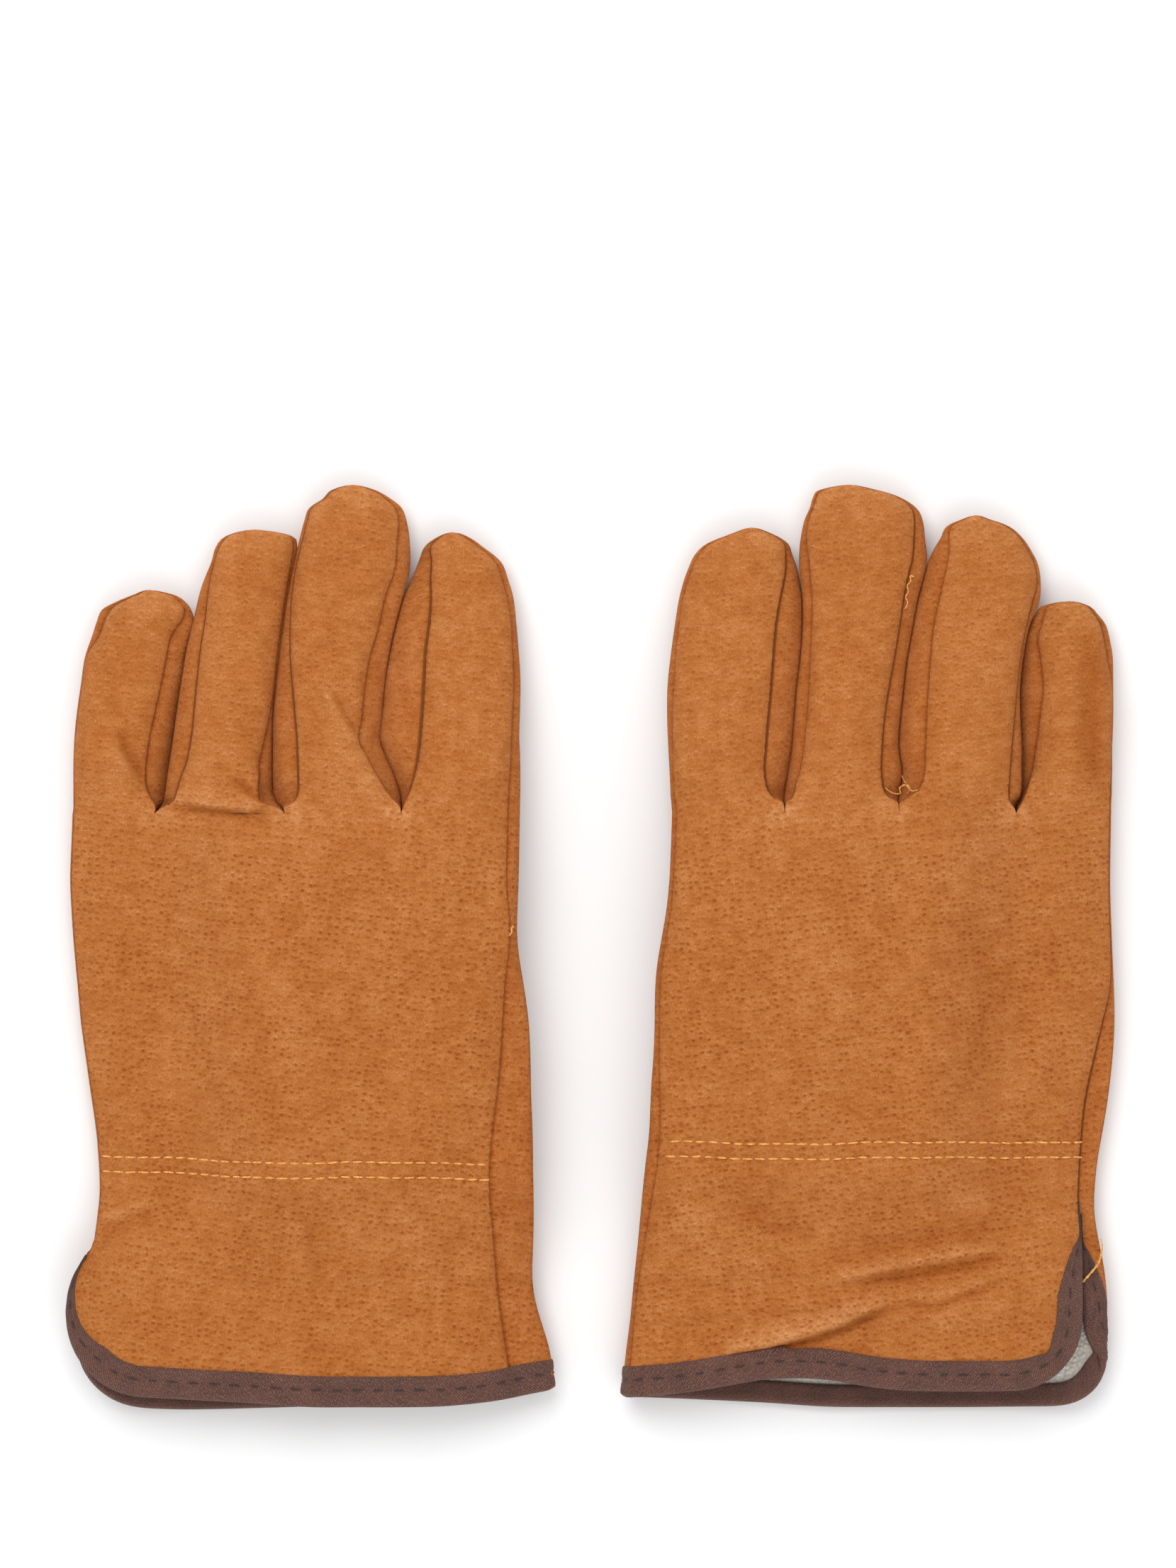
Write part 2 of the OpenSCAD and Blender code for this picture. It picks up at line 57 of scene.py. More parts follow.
# All sizes here are in millimetres. "outline" gives, by y, the little finger edge, the seam there, the
# thumb side seam and the thumb side edge. "borders" are the x at which the fingers part. "falls" says
# by y how far the leather beside the vent has fallen open, and "mouth" how high it then stands. "tape"
# says how the tape widens from its two ends, by the distance along it. "wrist" is the stitching's y.
LEFT_HAND = {
    "name": "left",
    "side": 1,
    "outline": [
        (36, -139.2, -138.9, -21.2, -18.3), (18, -140, -139.7, -21.7, -18.6),
        (4, -139.2, -138.9, -20.4, -19.2), (-3, -138.6, -138.3, -21.2, -18.5),
        (-10, -137.9, -137.6, -22.1, -17.2), (-20, -137.1, -136.8, -22.6, -15.8),
        (-30, -135.7, -135.4, -23.2, -15.4), (-40, -134.3, -134, -24.2, -15.3),
        (-50, -132.8, -132.5, -25.6, -14.8), (-58, -132.2, -131.9, -26.3, -14.8),
        (-66, -131.8, -131.5, -26.3, -14.6), (-73, -132.4, -132.1, -25.7, -14.6),
        (-79, -132.9, -132.6, -25.1, -14.7), (-85, -133.6, -133.3, -24.7, -15),
        (-90, -134.3, -134.3, -24.4, -15.2), (-95.5, -135.4, -136.1, -23.7, -14.4),
        (-98.5, -136, -137.5, -23.2, -13.6), (-104, -137, -139.3, -22.4, -11.8),
        (-111, -137.8, -140.3, -21.3, -9.8), (-125, -138, -140.8, -20, -9),
    ],
    "borders": (-116.8, -81, -50.1),
    "hem": {
        "back": [(-141, -119.8), (-107, -121), (-71, -123.2), (-38, -123), (-26, -122), (-9, -118.8)],
        "palm": [(-138, -122), (-118, -124.4), (-107, -124.7), (-80, -124), (-40, -122.2), (-9, -118.8)],
        "corner": 21, "palm_corner": 16,
    },
    "vent_top": -83,
    "falls": [(-93, 0), (-110, 1)],
    "mouth": 0.3,
    "tape": {"back_top": 3, "back_grows": 30, "bend": 1.2, "palm_top": 2, "palm_grows": 16, "corner": None},
    "wrist": -59.3,
}
RIGHT_HAND = {
    "name": "right",
    "side": -1,
    "outline": [
        (36, 141.3, 141, 23.6, 22.6), (18, 141, 140.7, 22.7, 21.9), (10, 141.2, 140.9, 22, 21.1),
        (3, 141.5, 141.2, 20.8, 19.8), (-5, 141.8, 141.5, 19.4, 18.4),
        (-12, 142.1, 141.2, 18.9, 17.9), (-20, 142.3, 139, 18.9, 17.9),
        (-28, 141.9, 137.2, 18.8, 17.7), (-36, 141.1, 135.2, 18.9, 17),
        (-43, 140.2, 133.9, 19.1, 16.7), (-50, 139, 133.3, 19.1, 16.5),
        (-58, 137.5, 132.8, 18.4, 15.4), (-66, 136.8, 132.4, 17.1, 14.6),
        (-73, 136.6, 132.4, 16, 14), (-80, 137.4, 132.8, 14.9, 13.4),
        (-90, 139.2, 133, 13.3, 12.3), (-100, 140.2, 133, 12.1, 11.4),
        (-110, 140.2, 133, 11.3, 10), (-125, 140.2, 133, 10.5, 8.8),
    ],
    "borders": (115.2, 83.4, 52.7),
    "hem": {
        "back": [(133, -118.3), (114, -118.8), (90, -119.0), (76, -117.9), (64, -115.3),
                 (50, -115.1), (40, -116.8), (27.5, -119.2), (9, -121)],
        "palm": [(140, -123.4), (105, -124), (64, -124), (51, -122.9), (24, -121.6), (9, -121)],
        "corner": 18, "palm_corner": 13,
    },
    "vent_top": -69,
    "falls": [(-78, 0), (-96, 0.04), (-103, 0.14), (-107, 0.3), (-111, 0.55), (-116, 0.85), (-119.5, 1)],
    "mouth": 0.5,
    "tape": {"back_top": 10, "back_grows": 15, "bend": 0.7, "palm_top": 8, "palm_grows": 18, "corner": 46},
    "wrist": -54.2,
}
GLOVES = (LEFT_HAND, RIGHT_HAND)

KNUCKLE_LINE = 36      # y where the hand ends and the finger stalls begin
HEM_LINE = -120        # about where the hems lie
CUFF_START = 7.5       # how far below the wrist stitching the cuff's rows begin to follow the hem
BACK, SIDE, PALM = 40, 16, 20   # cells across one finger's back, one side and its palm
BACKS, PALMS = 4 * BACK, 4 * PALM
SEAM_STEP = 0.05       # how far the leather below a seam lies under the edge above it
LEATHER, LINING = 1.2, 2.4      # depths of the leather's and of the lining's inner face
SIDE_INSET = 2.6       # how far the palm seam lies inside the edge


def ease(start, end, value):
    """From 0 at the start to 1 at the end, with soft ends."""
    t = np.clip((np.asarray(value, float) - start) / (end - start), 0, 1)
    return t * t * (3 - 2 * t)


def shares(cells, close=0.6):
    """Shares across a piece of leather, closer together beside its two seams."""
    t = np.linspace(0, 1, cells + 1)
    return t - close * np.sin(2 * np.pi * t) / (2 * np.pi)


def across_hand(borders, first, last, cells):
    """Shares of the way across the hand, with the columns of the four fingers' panels."""
    edges = [0, *[(b - first) / (last - first) for b in borders], 1]
    return np.r_[0, np.concatenate([a + (b - a) * shares(cells)[1:] for a, b in zip(edges, edges[1:])])]


def flowing(table, column, y, reach=3.0):
    """A column of an outline table at y, as a smooth curve."""
    rows = sorted((row[0], row[column]) for row in table)
    fine = np.arange(rows[0][0] - 15, rows[-1][0] + 15, 0.5)
    values = np.interp(fine, [row[0] for row in rows], [row[1] for row in rows])
    bell = np.exp(-0.5 * (np.arange(-12, 12.5, 0.5) / reach) ** 2)
    padded = np.pad(values, len(bell) // 2, mode="edge")
    return np.interp(y, fine, np.convolve(padded, bell / bell.sum(), mode="valid"))


def hand_height(y):
    """Thickness of the hand as it lies."""
    return np.interp(y, [-125, -84, -58, -20, 36], [14, 14.5, 13, 14.5, 15])


def palm_lift(y):
    """How far the thumb that is folded under the palm raises it."""
    return np.interp(y, [-92, -82, -62, 28, 38], [0, 2.5, 11.6, 11.6, 8.5])


def hand_middle(y, u):
    """Height of the middle of the section, at share u across the hand."""
    bench = np.interp(y, [-96, -70], [1.4, 0])
    return bench + hand_height(y) / 2 + palm_lift(y) * ease(0.18, 0.42, u)


def crown(s, power=2.6, root=0.55):
    """A rounded top over the shares from 0 to 1, flatter with a higher power."""
    return np.maximum(1 - np.abs(2 * s - 1) ** power, 0) ** root


def side_arc(x_seam, x_edge, x_palm, level, steps, drop=-0.1, low=-0.8, start=0.0):
    """From the back seam over the edge to the palm seam: x and height from -1 to 1."""
    t = start + (2 - start) * shares(steps)[None, :]
    upper, lower = np.clip(t, 0, 1), np.clip(t - 1, 0, 1)
    step_down = SEAM_STEP * (t > 0) * (1 - upper)
    slope = 0.5 * upper + 0.5 * np.sin(upper * np.pi / 2)
    x = x_seam + (x_edge - x_seam) * slope + (x_palm - x_edge) * (1 - np.cos(lower * np.pi / 2))
    fall = 0.3 * (1 - upper) + 0.7 * np.cos(upper * np.pi / 2)
    height = drop + (level - drop) * fall + (low - drop) * np.sin(lower * np.pi / 2)
    return x, height - step_down


def waves(x, y, seed, size, count=14):
    """A soft unevenness of height 1, the sum of plane waves of about that size."""
    rng = np.random.default_rng(seed)
    total = np.zeros(np.broadcast(x, y).shape)
    for _ in range(count):
        angle, length, phase = rng.uniform(0, np.pi), size * rng.uniform(0.6, 1.6), rng.uniform(0, 6.3)
        total += np.sin((x * np.cos(angle) + y * np.sin(angle)) * 6.283 / length + phase)
    return total / math.sqrt(count)


# Folds that show in the leather: the line they follow, their width, their height (a crease is
# below 0) and, for leather that laps over, the side of the line that falls steeply
FOLDS = {
    "left": [
        ([(-126.1, 59.1), (-124.7, 54.5), (-120.6, 47.3), (-118.4, 41.5)], 1.4, -1.2, 0),
        ([(-128.5, 58), (-127, 51), (-123.5, 45)], 3.2, 0.9, 0),
        ([(-116.6, 38.6), (-116.7, 33.5)], 1.3, -0.8, 0),
        ([(-119, 37), (-124, 33)], 1.6, -0.4, 0),
        ([(-112.6, 39.4), (-104.3, 38.4), (-97, 37.7), (-90, 36.9), (-86.2, 38.6)], 3.2, 2.6, -1),
        ([(-112.6, 38.6), (-104.3, 37.4), (-97, 36.7), (-90, 35.9), (-85.4, 37.4)], 0.9, -1.3, 0),
        ([(-97, 45.5), (-92.5, 43.4), (-88.5, 40.4), (-86, 38.4)], 1.1, -1.1, 0),
        ([(-71.5, 72), (-67.3, 66), (-62.6, 57.2), (-61, 54.6)], 2.4, 1.6, 1),
        ([(-70.6, 71), (-66.6, 65), (-61.8, 56.4)], 0.9, -1.2, 0),
        ([(-68, 58), (-62, 50), (-54, 42)], 4.5, 0.8, 0),
        ([(-58, 56), (-56, 49.5), (-52.5, 43)], 1.2, -0.9, 0),
        ([(-50, 38.6), (-50.2, 35)], 1.2, -0.35, 0),
        ([(-81.6, 37.3), (-81, 34)], 1.4, -0.3, 0),
        ([(-90, -12), (-87.5, -26), (-84, -50)], 3.4, -0.5, 0),
        ([(-86, -2), (-82, -24), (-78, -48)], 5.0, 0.45, 0),
        ([(-131, -74.2), (-124, -71), (-115, -67.4)], 2.2, 1.2, 0),
        ([(-132, -78), (-125, -74.4), (-116, -70.4)], 2.0, -0.9, 0),
        ([(-78.3, -70), (-77.3, -80), (-76, -92)], 3.0, 0.8, 0),
        ([(-74.5, -69), (-73.5, -80), (-72.5, -93)], 2.5, -0.5, 0),
        ([(-50, -66), (-46, -80), (-40, -95)], 5.0, 0.6, 0),
        ([(-104, -68), (-108, -82), (-112, -95)], 5.0, 0.5, 0),
    ],
    "right": [
        ([(52.4, 38.8), (51.2, 35.6)], 1.1, -0.25, 0),
        ([(50.4, 40), (47.5, 36.5)], 1.1, -0.4, 0),
        ([(83.6, 38.8), (83.2, 35.4)], 1.2, -0.25, 0),
        ([(87.5, 41), (90.5, 36.5)], 1.2, -0.4, 0),
        ([(115.4, 35.6), (115.2, 31.5)], 1.2, -0.5, 0),
        ([(117.5, 38.5), (122, 33.5)], 1.6, -0.4, 0),
        ([(135.6, 86), (134.8, 66), (136, 42)], 3.2, -1.1, 0),
        ([(129.5, 84), (128, 64), (129, 44)], 3.4, 0.5, 0),
        ([(36, -108.6), (49.1, -106.6), (60, -103.8), (69, -100.6), (76.2, -97.2), (83, -94.8)],
         3.6, 3.4, -1),
        ([(38, -109.4), (49.1, -108), (60, -105.2), (69, -102), (76.2, -98.6), (83, -96.2)],
         1.3, -1.7, 0),
        ([(82, -95.6), (88, -94.6), (94, -95.2), (100.5, -92.6), (110, -89.6)], 2.4, 0.9, -1),
        ([(82, -96.8), (88, -95.8), (94, -96.4), (100.5, -93.8), (110, -90.8)], 1.2, -0.7, 0),
        ([(62, -90), (76, -87.4), (88, -84.6), (100, -82.6), (112, -80.6)], 3.4, 2.0, -1),
        ([(72, -90.4), (81, -88.6), (92, -87), (104, -84.8), (112, -83)], 1.5, -1.2, 0),
        ([(62, -84), (80, -81), (100, -76.5), (120, -72.5)], 3.6, -0.6, 0),
        ([(88, -101), (100, -99), (114, -97)], 3.6, 0.9, 0),
        ([(21, -66), (34, -78), (50, -88)], 5.0, 0.9, 0),
        ([(36, -62), (46, -72), (62, -79)], 4.0, -0.6, 0),
        ([(98, -64), (106, -71), (120, -75)], 3.5, 0.6, 0),
        ([(60, 8), (66, -14), (66, -40)], 7.0, 0.5, 0),
        ([(104, 12), (108, -12), (104, -40)], 6.0, -0.45, 0),
        ([(127, -12), (122, -30), (112, -48)], 4.0, 0.6, 0),
    ],
}
STEEP = 0.3            # width of a fold's steep side, as a share of its other side


def folds(glove, x, y):
    """Height of the folds, and a tone: paler on their ridges, partly wear and partly painted highlight;
    darker in their creases, as painted shade; paler across the knuckles, as painted highlight, and at the
    crotches from wear.
    """
    height = np.zeros(np.broadcast(x, y).shape)
    worn_and_painted_light = np.zeros_like(height)
    for line, width, size, steep_side in FOLDS[glove["name"]]:
        points = np.array(line, float)
        lengths = np.cumsum(np.r_[0, np.hypot(*np.diff(points, axis=0).T)])
        nearest = np.full(height.shape, 1e9)
        along, to_left = np.zeros_like(height), np.zeros_like(height)
        for k in range(len(points) - 1):
            a, d = points[k], points[k + 1] - points[k]
            t = np.clip(((x - a[0]) * d[0] + (y - a[1]) * d[1]) / (d @ d), 0, 1)
            gap = np.hypot(x - a[0] - t * d[0], y - a[1] - t * d[1])
            closer = gap < nearest
            nearest = np.where(closer, gap, nearest)
            along = np.where(closer, (lengths[k] + t * (lengths[k + 1] - lengths[k])) / lengths[-1], along)
            to_left = np.where(closer, np.sign(d[0] * (y - a[1]) - d[1] * (x - a[0])), to_left)
        taper = np.clip(np.minimum(along, 1 - along) * 4, 0, 1) ** 0.6
        wide = np.where(to_left * steep_side > 0, width * STEEP, width)
        bump = size * taper * np.exp(-((nearest / wide) ** 2))
        height += bump
        # Ridges pale the tone, partly wear and partly painted highlight; creases darken it, as painted shade
        worn_and_painted_light += bump / (3 if size > 0 else 1.7)
    # A painted highlight across the knuckles, and paler spots from wear where the fingers part
    rubbed_and_painted_light = 0.1 * np.exp(-(((y - 32) / 15) ** 2)) * (1 + 0.5 * waves(x, y, 61, 22))
    for border in glove["borders"]:
        pinched = np.exp(-(((x - border) / 4.5) ** 2) - ((y - 36) / 2.4) ** 2)
        rubbed_and_painted_light += 0.5 * pinched * (1 + 0.6 * waves(x, y, 83, 3))
    return height, worn_and_painted_light + rubbed_and_painted_light


def wrist_line(glove, x):
    """y of the middle between the two rows of wrist stitching, which aren't quite straight."""
    slope = {"left": -0.011, "right": -0.004}[glove["name"]]
    return glove["wrist"] + slope * (x - glove["side"] * -78) + 0.3 * np.sin(x / 11) + 0.12 * np.sin(x / 3.7)


def wrist_gathers(glove, x, y):
    """The elastic puckers the leather between and beside the two rows of stitching."""
    off = np.abs(y - wrist_line(glove, x))
    rows = -0.45 * np.exp(-(((off - 2.1) / 0.55) ** 2))
    pucker = 0.3 * waves(x, y * 0.25, 31, 6.5) * np.exp(-((off / 6) ** 2))
    roll = 0.35 * np.exp(-((off / 1.1) ** 2))
    return rows + pucker + roll


def leather_relief(glove, x, y):
    """Everything that lifts or sinks the leather of the back from its plain shape."""
    height, _ = folds(glove, x, y)
    soft = 0.42 * waves(x, y, 5 + glove["side"], 34) + 0.13 * waves(x, y, 11, 11)
    cuff = 0.55 * waves(x, y * 0.5, 17 + glove["side"], 30) * ease(-62, -95, y)
    return height + soft + cuff + wrist_gathers(glove, x, y)


def hand_edges(glove, y):
    """Little finger edge and seam, thumb side seam and edge, at y."""
    return [flowing(glove["outline"], column, np.minimum(y, KNUCKLE_LINE)) for column in (1, 2, 3, 4)]


def hand_z(glove, x, y, height):
    """From a height between -1 and 1 to z, on the hand's own section."""
    little, _, _, thumb = hand_edges(glove, y)
    u = np.clip((x - little) / (thumb - little), 0, 1)
    return hand_middle(y, u) + hand_height(y) / 2 * height


LITTLE_LEVEL, THUMB_LEVEL = 0.1, 0.3   # height of the two back seams
TUCK = 0.36            # how far the palm's edge of the vent lies under the back's


def back_height(glove, s, gape=0.0):
    """Height of the hand's back at share s across it, from the little finger's seam."""
    level = LITTLE_LEVEL + (glove["mouth"] - LITTLE_LEVEL) * gape
    seam = level + (THUMB_LEVEL - level) * s
    return seam + (1 - seam) * crown(s, 5.5, 0.62)


def palm_height(s):
    """Height of the palm at share s across it, from -1 at its lowest."""
    return -0.8 - 0.2 * crown(s, 5.5, 0.62)


def opened(glove, y):
    """How far the vent stands open at y."""
    return ease(glove["vent_top"] + 2, glove["vent_top"] - 14, y)


def hem_y(glove, face, x, free_x):
    """y of the hem of the back or palm, with its rounded corner at the vent."""
    hem = glove["hem"]
    plain = flowing(hem[face], 1, x, reach=4)
    radius = hem["corner" if face == "back" else "palm_corner"]
    past = np.clip(radius - np.abs(x - free_x), 0, radius)
    return plain + radius - np.sqrt(np.maximum(radius**2 - past**2, 0))


def hand_rows(glove):
    """Shares down the hand: plain y values, then the part of the way from the last one to the hem."""
    wrist = glove["wrist"]
    palm = np.linspace(KNUCKLE_LINE, wrist + 7, 104)
    fine = np.linspace(wrist + 7, wrist - CUFF_START, 26)[1:]
    return np.r_[palm, fine], np.linspace(0, 1, 73)[1:]


def hand_surface(glove):
    """The outer face of the hand as a grid, rows down and columns once round it."""
    plain, cuff = hand_rows(glove)
    start = plain[-1]
    rows = []
    inset = glove["side"] * SIDE_INSET
    _, little_edge, little_seam, thumb_seam, thumb_edge = glove["outline"][0]
    back_x = across_hand(glove["borders"], little_seam, thumb_seam, BACK)
    palm_x = across_hand(glove["borders"], little_edge + inset, thumb_edge - inset, PALM)
    for level, t in [*[(y, 0.0) for y in plain], *[(start, t) for t in cuff]]:
        y_guess = level + (HEM_LINE - level) * t
        little, seam_l, seam_t, thumb = hand_edges(glove, np.float64(y_guess))
        gape = opened(glove, y_guess)
        x_back = seam_l + (seam_t - seam_l) * back_x
        h_back = back_height(glove, back_x, gape)
        fallen = np.clip(flowing(glove["falls"], 1, y_guess, reach=1.5), 0, 1)
        tucked = TUCK * ease(glove["vent_top"], glove["vent_top"] - 10, y_guess)
        palm_l, palm_t = little + inset * (1 - 0.5 * fallen), thumb - inset
        x_palm = palm_t + (palm_l - palm_t) * (1 - palm_x[::-1])
        lifted = fallen * (1 - glove["mouth"]) * ease(0.25, 0, palm_x[::-1])
        h_palm = palm_height(palm_x[::-1]) * (1 - lifted)
        x_thumb, h_thumb = side_arc(seam_t, thumb, palm_t, THUMB_LEVEL, SIDE)
        low = h_palm[-1]
        x_little, h_little = side_arc(x_back[0], little, palm_l, h_back[0] - tucked, SIDE,
                                      drop=-0.1 + (low + 0.2) * fallen**2, low=low, start=fallen)
        x = np.r_[x_back, x_thumb[0][1:], x_palm[1:], x_little[0][::-1][1:-1]]
        height = np.r_[h_back, h_thumb[0][1:], h_palm[1:], h_little[0][::-1][1:-1]]
        if t == 0:
            y = np.full(x.shape, level)
        else:
            back_hem = hem_y(glove, "back", x, x_back[0])
            palm_hem = hem_y(glove, "palm", x, little)
            around = np.arange(len(x))
            under = ease(BACKS, BACKS + SIDE, around)
            hem = back_hem + (palm_hem - back_hem) * under
            y = start + (hem - start) * t
        z = hand_z(glove, x, y, height)
        z = z + leather_relief(glove, x, y) * np.clip((height + 0.1) / 0.5, 0, 1)
        rows.append(np.stack([x, y, z], 1))
    return np.array(rows)


def surface_normals(grid, flip, wrap=True):
    """Outward normals of a grid of points."""
    if wrap:
        across = np.roll(grid, -1, 1) - np.roll(grid, 1, 1)
    else:
        across = np.gradient(grid, axis=1)
    down = np.gradient(grid, axis=0)
    normal = np.cross(down, across) * (-1 if flip else 1)
    length = np.linalg.norm(normal, axis=2, keepdims=True)
    return normal / np.maximum(length, 1e-9)


def inside(grid, normals, depth, room):
    """The grid moved in by a depth, never past the middle of what is left of the room."""
    return grid - normals * (room * (1 - np.exp(-depth / room)))[..., None]


def wall(name, outer, inner, keep, flip, normals=None, uv=None, worn_and_painted_light=None):
    """A closed wall between two grids over the cells that are kept, as a mesh object in metres."""
    rows, per = outer.shape[:2]
    wrap = keep.shape[1] == per
    column = np.arange(keep.shape[1])
    index = np.arange(rows * per).reshape(rows, per)
    right = (column + 1) % per
    a, b = index[:-1][:, column], index[:-1][:, right]
    c, d = index[1:][:, right], index[1:][:, column]
    shift = rows * per
    faces = [np.stack([a, d, c, b], 2)[keep], (np.stack([a, b, c, d], 2) + shift)[keep]]
    above = np.vstack([np.zeros((1, keep.shape[1]), bool), keep[:-1]])
    below = np.vstack([keep[1:], np.zeros((1, keep.shape[1]), bool)])
    if wrap:
        before, after = np.roll(keep, 1, 1), np.roll(keep, -1, 1)
    else:
        none = np.zeros((keep.shape[0], 1), bool)
        before, after = np.hstack([none, keep[:, :-1]]), np.hstack([keep[:, 1:], none])
    for edge, (p, q) in ((above, (a, b)), (below, (c, d)), (before, (d, a)), (after, (b, c))):
        rim = keep & ~edge
        faces.append(np.stack([p, q, q + shift, p + shift], 2)[rim])
    faces = np.concatenate(faces)
    if flip:
        faces = faces[:, ::-1]
    used, faces = np.unique(faces, return_inverse=True)
    faces = faces.reshape(-1, 4)
    points = np.concatenate([outer.reshape(-1, 3), inner.reshape(-1, 3)])[used] * 0.001
    mesh = bpy.data.meshes.new(name)
    mesh.from_pydata(points.tolist(), [], faces.tolist())
    mesh.shade_smooth()
    if uv is not None:
        layer = mesh.uv_layers.new(name="leather_cm")
        flat = np.concatenate([uv.reshape(-1, 2)] * 2)[used]
        layer.data.foreach_set("uv", flat[faces.ravel()].ravel().astype(np.float32))
    if worn_and_painted_light is not None:
        attribute = mesh.attributes.new("worn_and_painted_light", "FLOAT", "POINT")
        attribute.data.foreach_set("value", np.concatenate([worn_and_painted_light.ravel()] * 2)[used].astype(np.float32))
    if normals is not None:
        both = np.concatenate([normals.reshape(-1, 3), -normals.reshape(-1, 3)])[used]
        mesh.normals_split_custom_set_from_vertices(both.tolist())
    piece = bpy.data.objects.new(name, mesh)
    bpy.context.collection.objects.link(piece)
    return piece


def seam_grooves(uv, y, columns, deep=0.42):
    """Depth of the fine grooves at the seams, puckered between their stitches."""
    across = uv[:, :, 0] * 10
    round_it = across[:, -1:] - across[:, :1] + 0.4
    depth = np.zeros(across.shape)
    for number, column in enumerate(columns):
        gap = np.abs(across - across[:, column:column + 1])
        gap = np.minimum(gap, np.abs(round_it - gap))
        pull = np.sin(y * 2.24 + np.sin(y * 0.53 + number) * 0.9 + number)
        groove = deep * np.exp(-((gap / 0.27) ** 2)) + (0.07 + 0.07 * pull) * np.exp(-((gap / 1.1) ** 2))
        depth = np.maximum(depth, groove)
    return depth


def leather_uv(grid, centre, side):
    """Distances in centimetres along the leather: round it from the centre column, and down it."""
    steps = np.linalg.norm(np.diff(grid, axis=1), axis=2)
    u = np.cumsum(np.hstack([np.zeros((len(grid), 1)), steps]), 1)
    u = u - u[:, centre:centre + 1] + side * grid[:, centre:centre + 1, 0]
    return np.stack([u, grid[:, :, 1]], 2) * 0.1


# The leather is pigskin split, buffed to a suede: matt and warm, with soft oblong pores in rows. It is paler
# where wear rubs it. Painted highlight pales the ridges of its folds, the knuckles and one side of each
# pore;
# painted shade makes its creases and seam grooves darker and redder, and partly darkens its pores, which are
# also darker of their own.
PORE_LAYERS = (                # mm from pore to pore, turn, least and most strength, shift
    (2.0, 0.12, 0.5, 1.0, 0.0),
    (2.56, -0.35, 0.0, 0.5, 7.3),
)
PORE = ((0, 0, 0), (0.9, 1.2, 0), 0.41)            # shift, slimness and reach, in those distances
# The pale rim is a painted highlight, set to one side of the pore
PORE_HIGHLIGHT = ((0.02, -0.2, 0), (0.75, 1.2, 0), 0.4)      # the same for the pale rim beside a pore
PORE_STRAY = 0.77              # mm across the unevenness of a pore's outline
PORE_ASIDE = 1.1               # mm between the furthest that an outline strays to either side
PORE_PATCH = 11.1              # mm across a patch with weaker or stronger pores
NAP = (0.59, 0.77)             # mm across and along a tuft of the brushed nap
# The real fibres are about 0.05 mm thick, too fine to show, so their clumps and ends are coarser here.
GRAIN = 0.417                  # mm across the clumps of fibre
FLECK = 0.294                  # mm between bright fibre ends
CLOUDS = (                     # mm across, detail, roughness, weight in the tone
    (23.8, 6.0, 0.62, 0.075),
    (5.9, 5.0, 0.65, 0.06),
    (2.94, 3.0, 0.6, 0.07),
)


def srgb(colour):
    """A hex colour as the linear values that Blender's shaders take."""
    parts = [int(colour[k:k + 2], 16) / 255 for k in (1, 3, 5)]
    return [*[c / 12.92 if c <= 0.04045 else ((c + 0.055) / 1.055) ** 2.4 for c in parts], 1.0]


def node(tree, kind, inputs=None, **settings):
    """A node added to a tree, with its settings, and with its inputs set or linked."""
    added = tree.nodes.new(kind)
    for key, value in settings.items():
        setattr(added, key, value)
    for key, value in (inputs or {}).items():
        if isinstance(value, bpy.types.NodeSocket):
            tree.links.new(value, added.inputs[key])
        else:
            added.inputs[key].default_value = value
    return added


def new_finish(name):
    """A material with an empty node tree, and that tree."""
    material = bpy.data.materials.new(name)
    material.use_nodes = True
    material.node_tree.nodes.clear()
    return material, material.node_tree


def close_finish(tree, colour, roughness, height, depth, sheen=0.0, sheen_tint="#ffffff"):
    """Ends a material with its colour, and with a fine relief of a depth in metres."""
    relief = node(tree, "ShaderNodeBump", {"Height": height, "Distance": depth, "Strength": 1.0})
    surface = node(tree, "ShaderNodeBsdfPrincipled", {
        "Base Color": colour, "Roughness": roughness, "Normal": relief.outputs[0],
        "Sheen Weight": sheen, "Sheen Roughness": 0.55, "Sheen Tint": srgb(sheen_tint),
        "Specular IOR Level": 0.25,
    })
    node(tree, "ShaderNodeOutputMaterial", {"Surface": surface.outputs[0]})


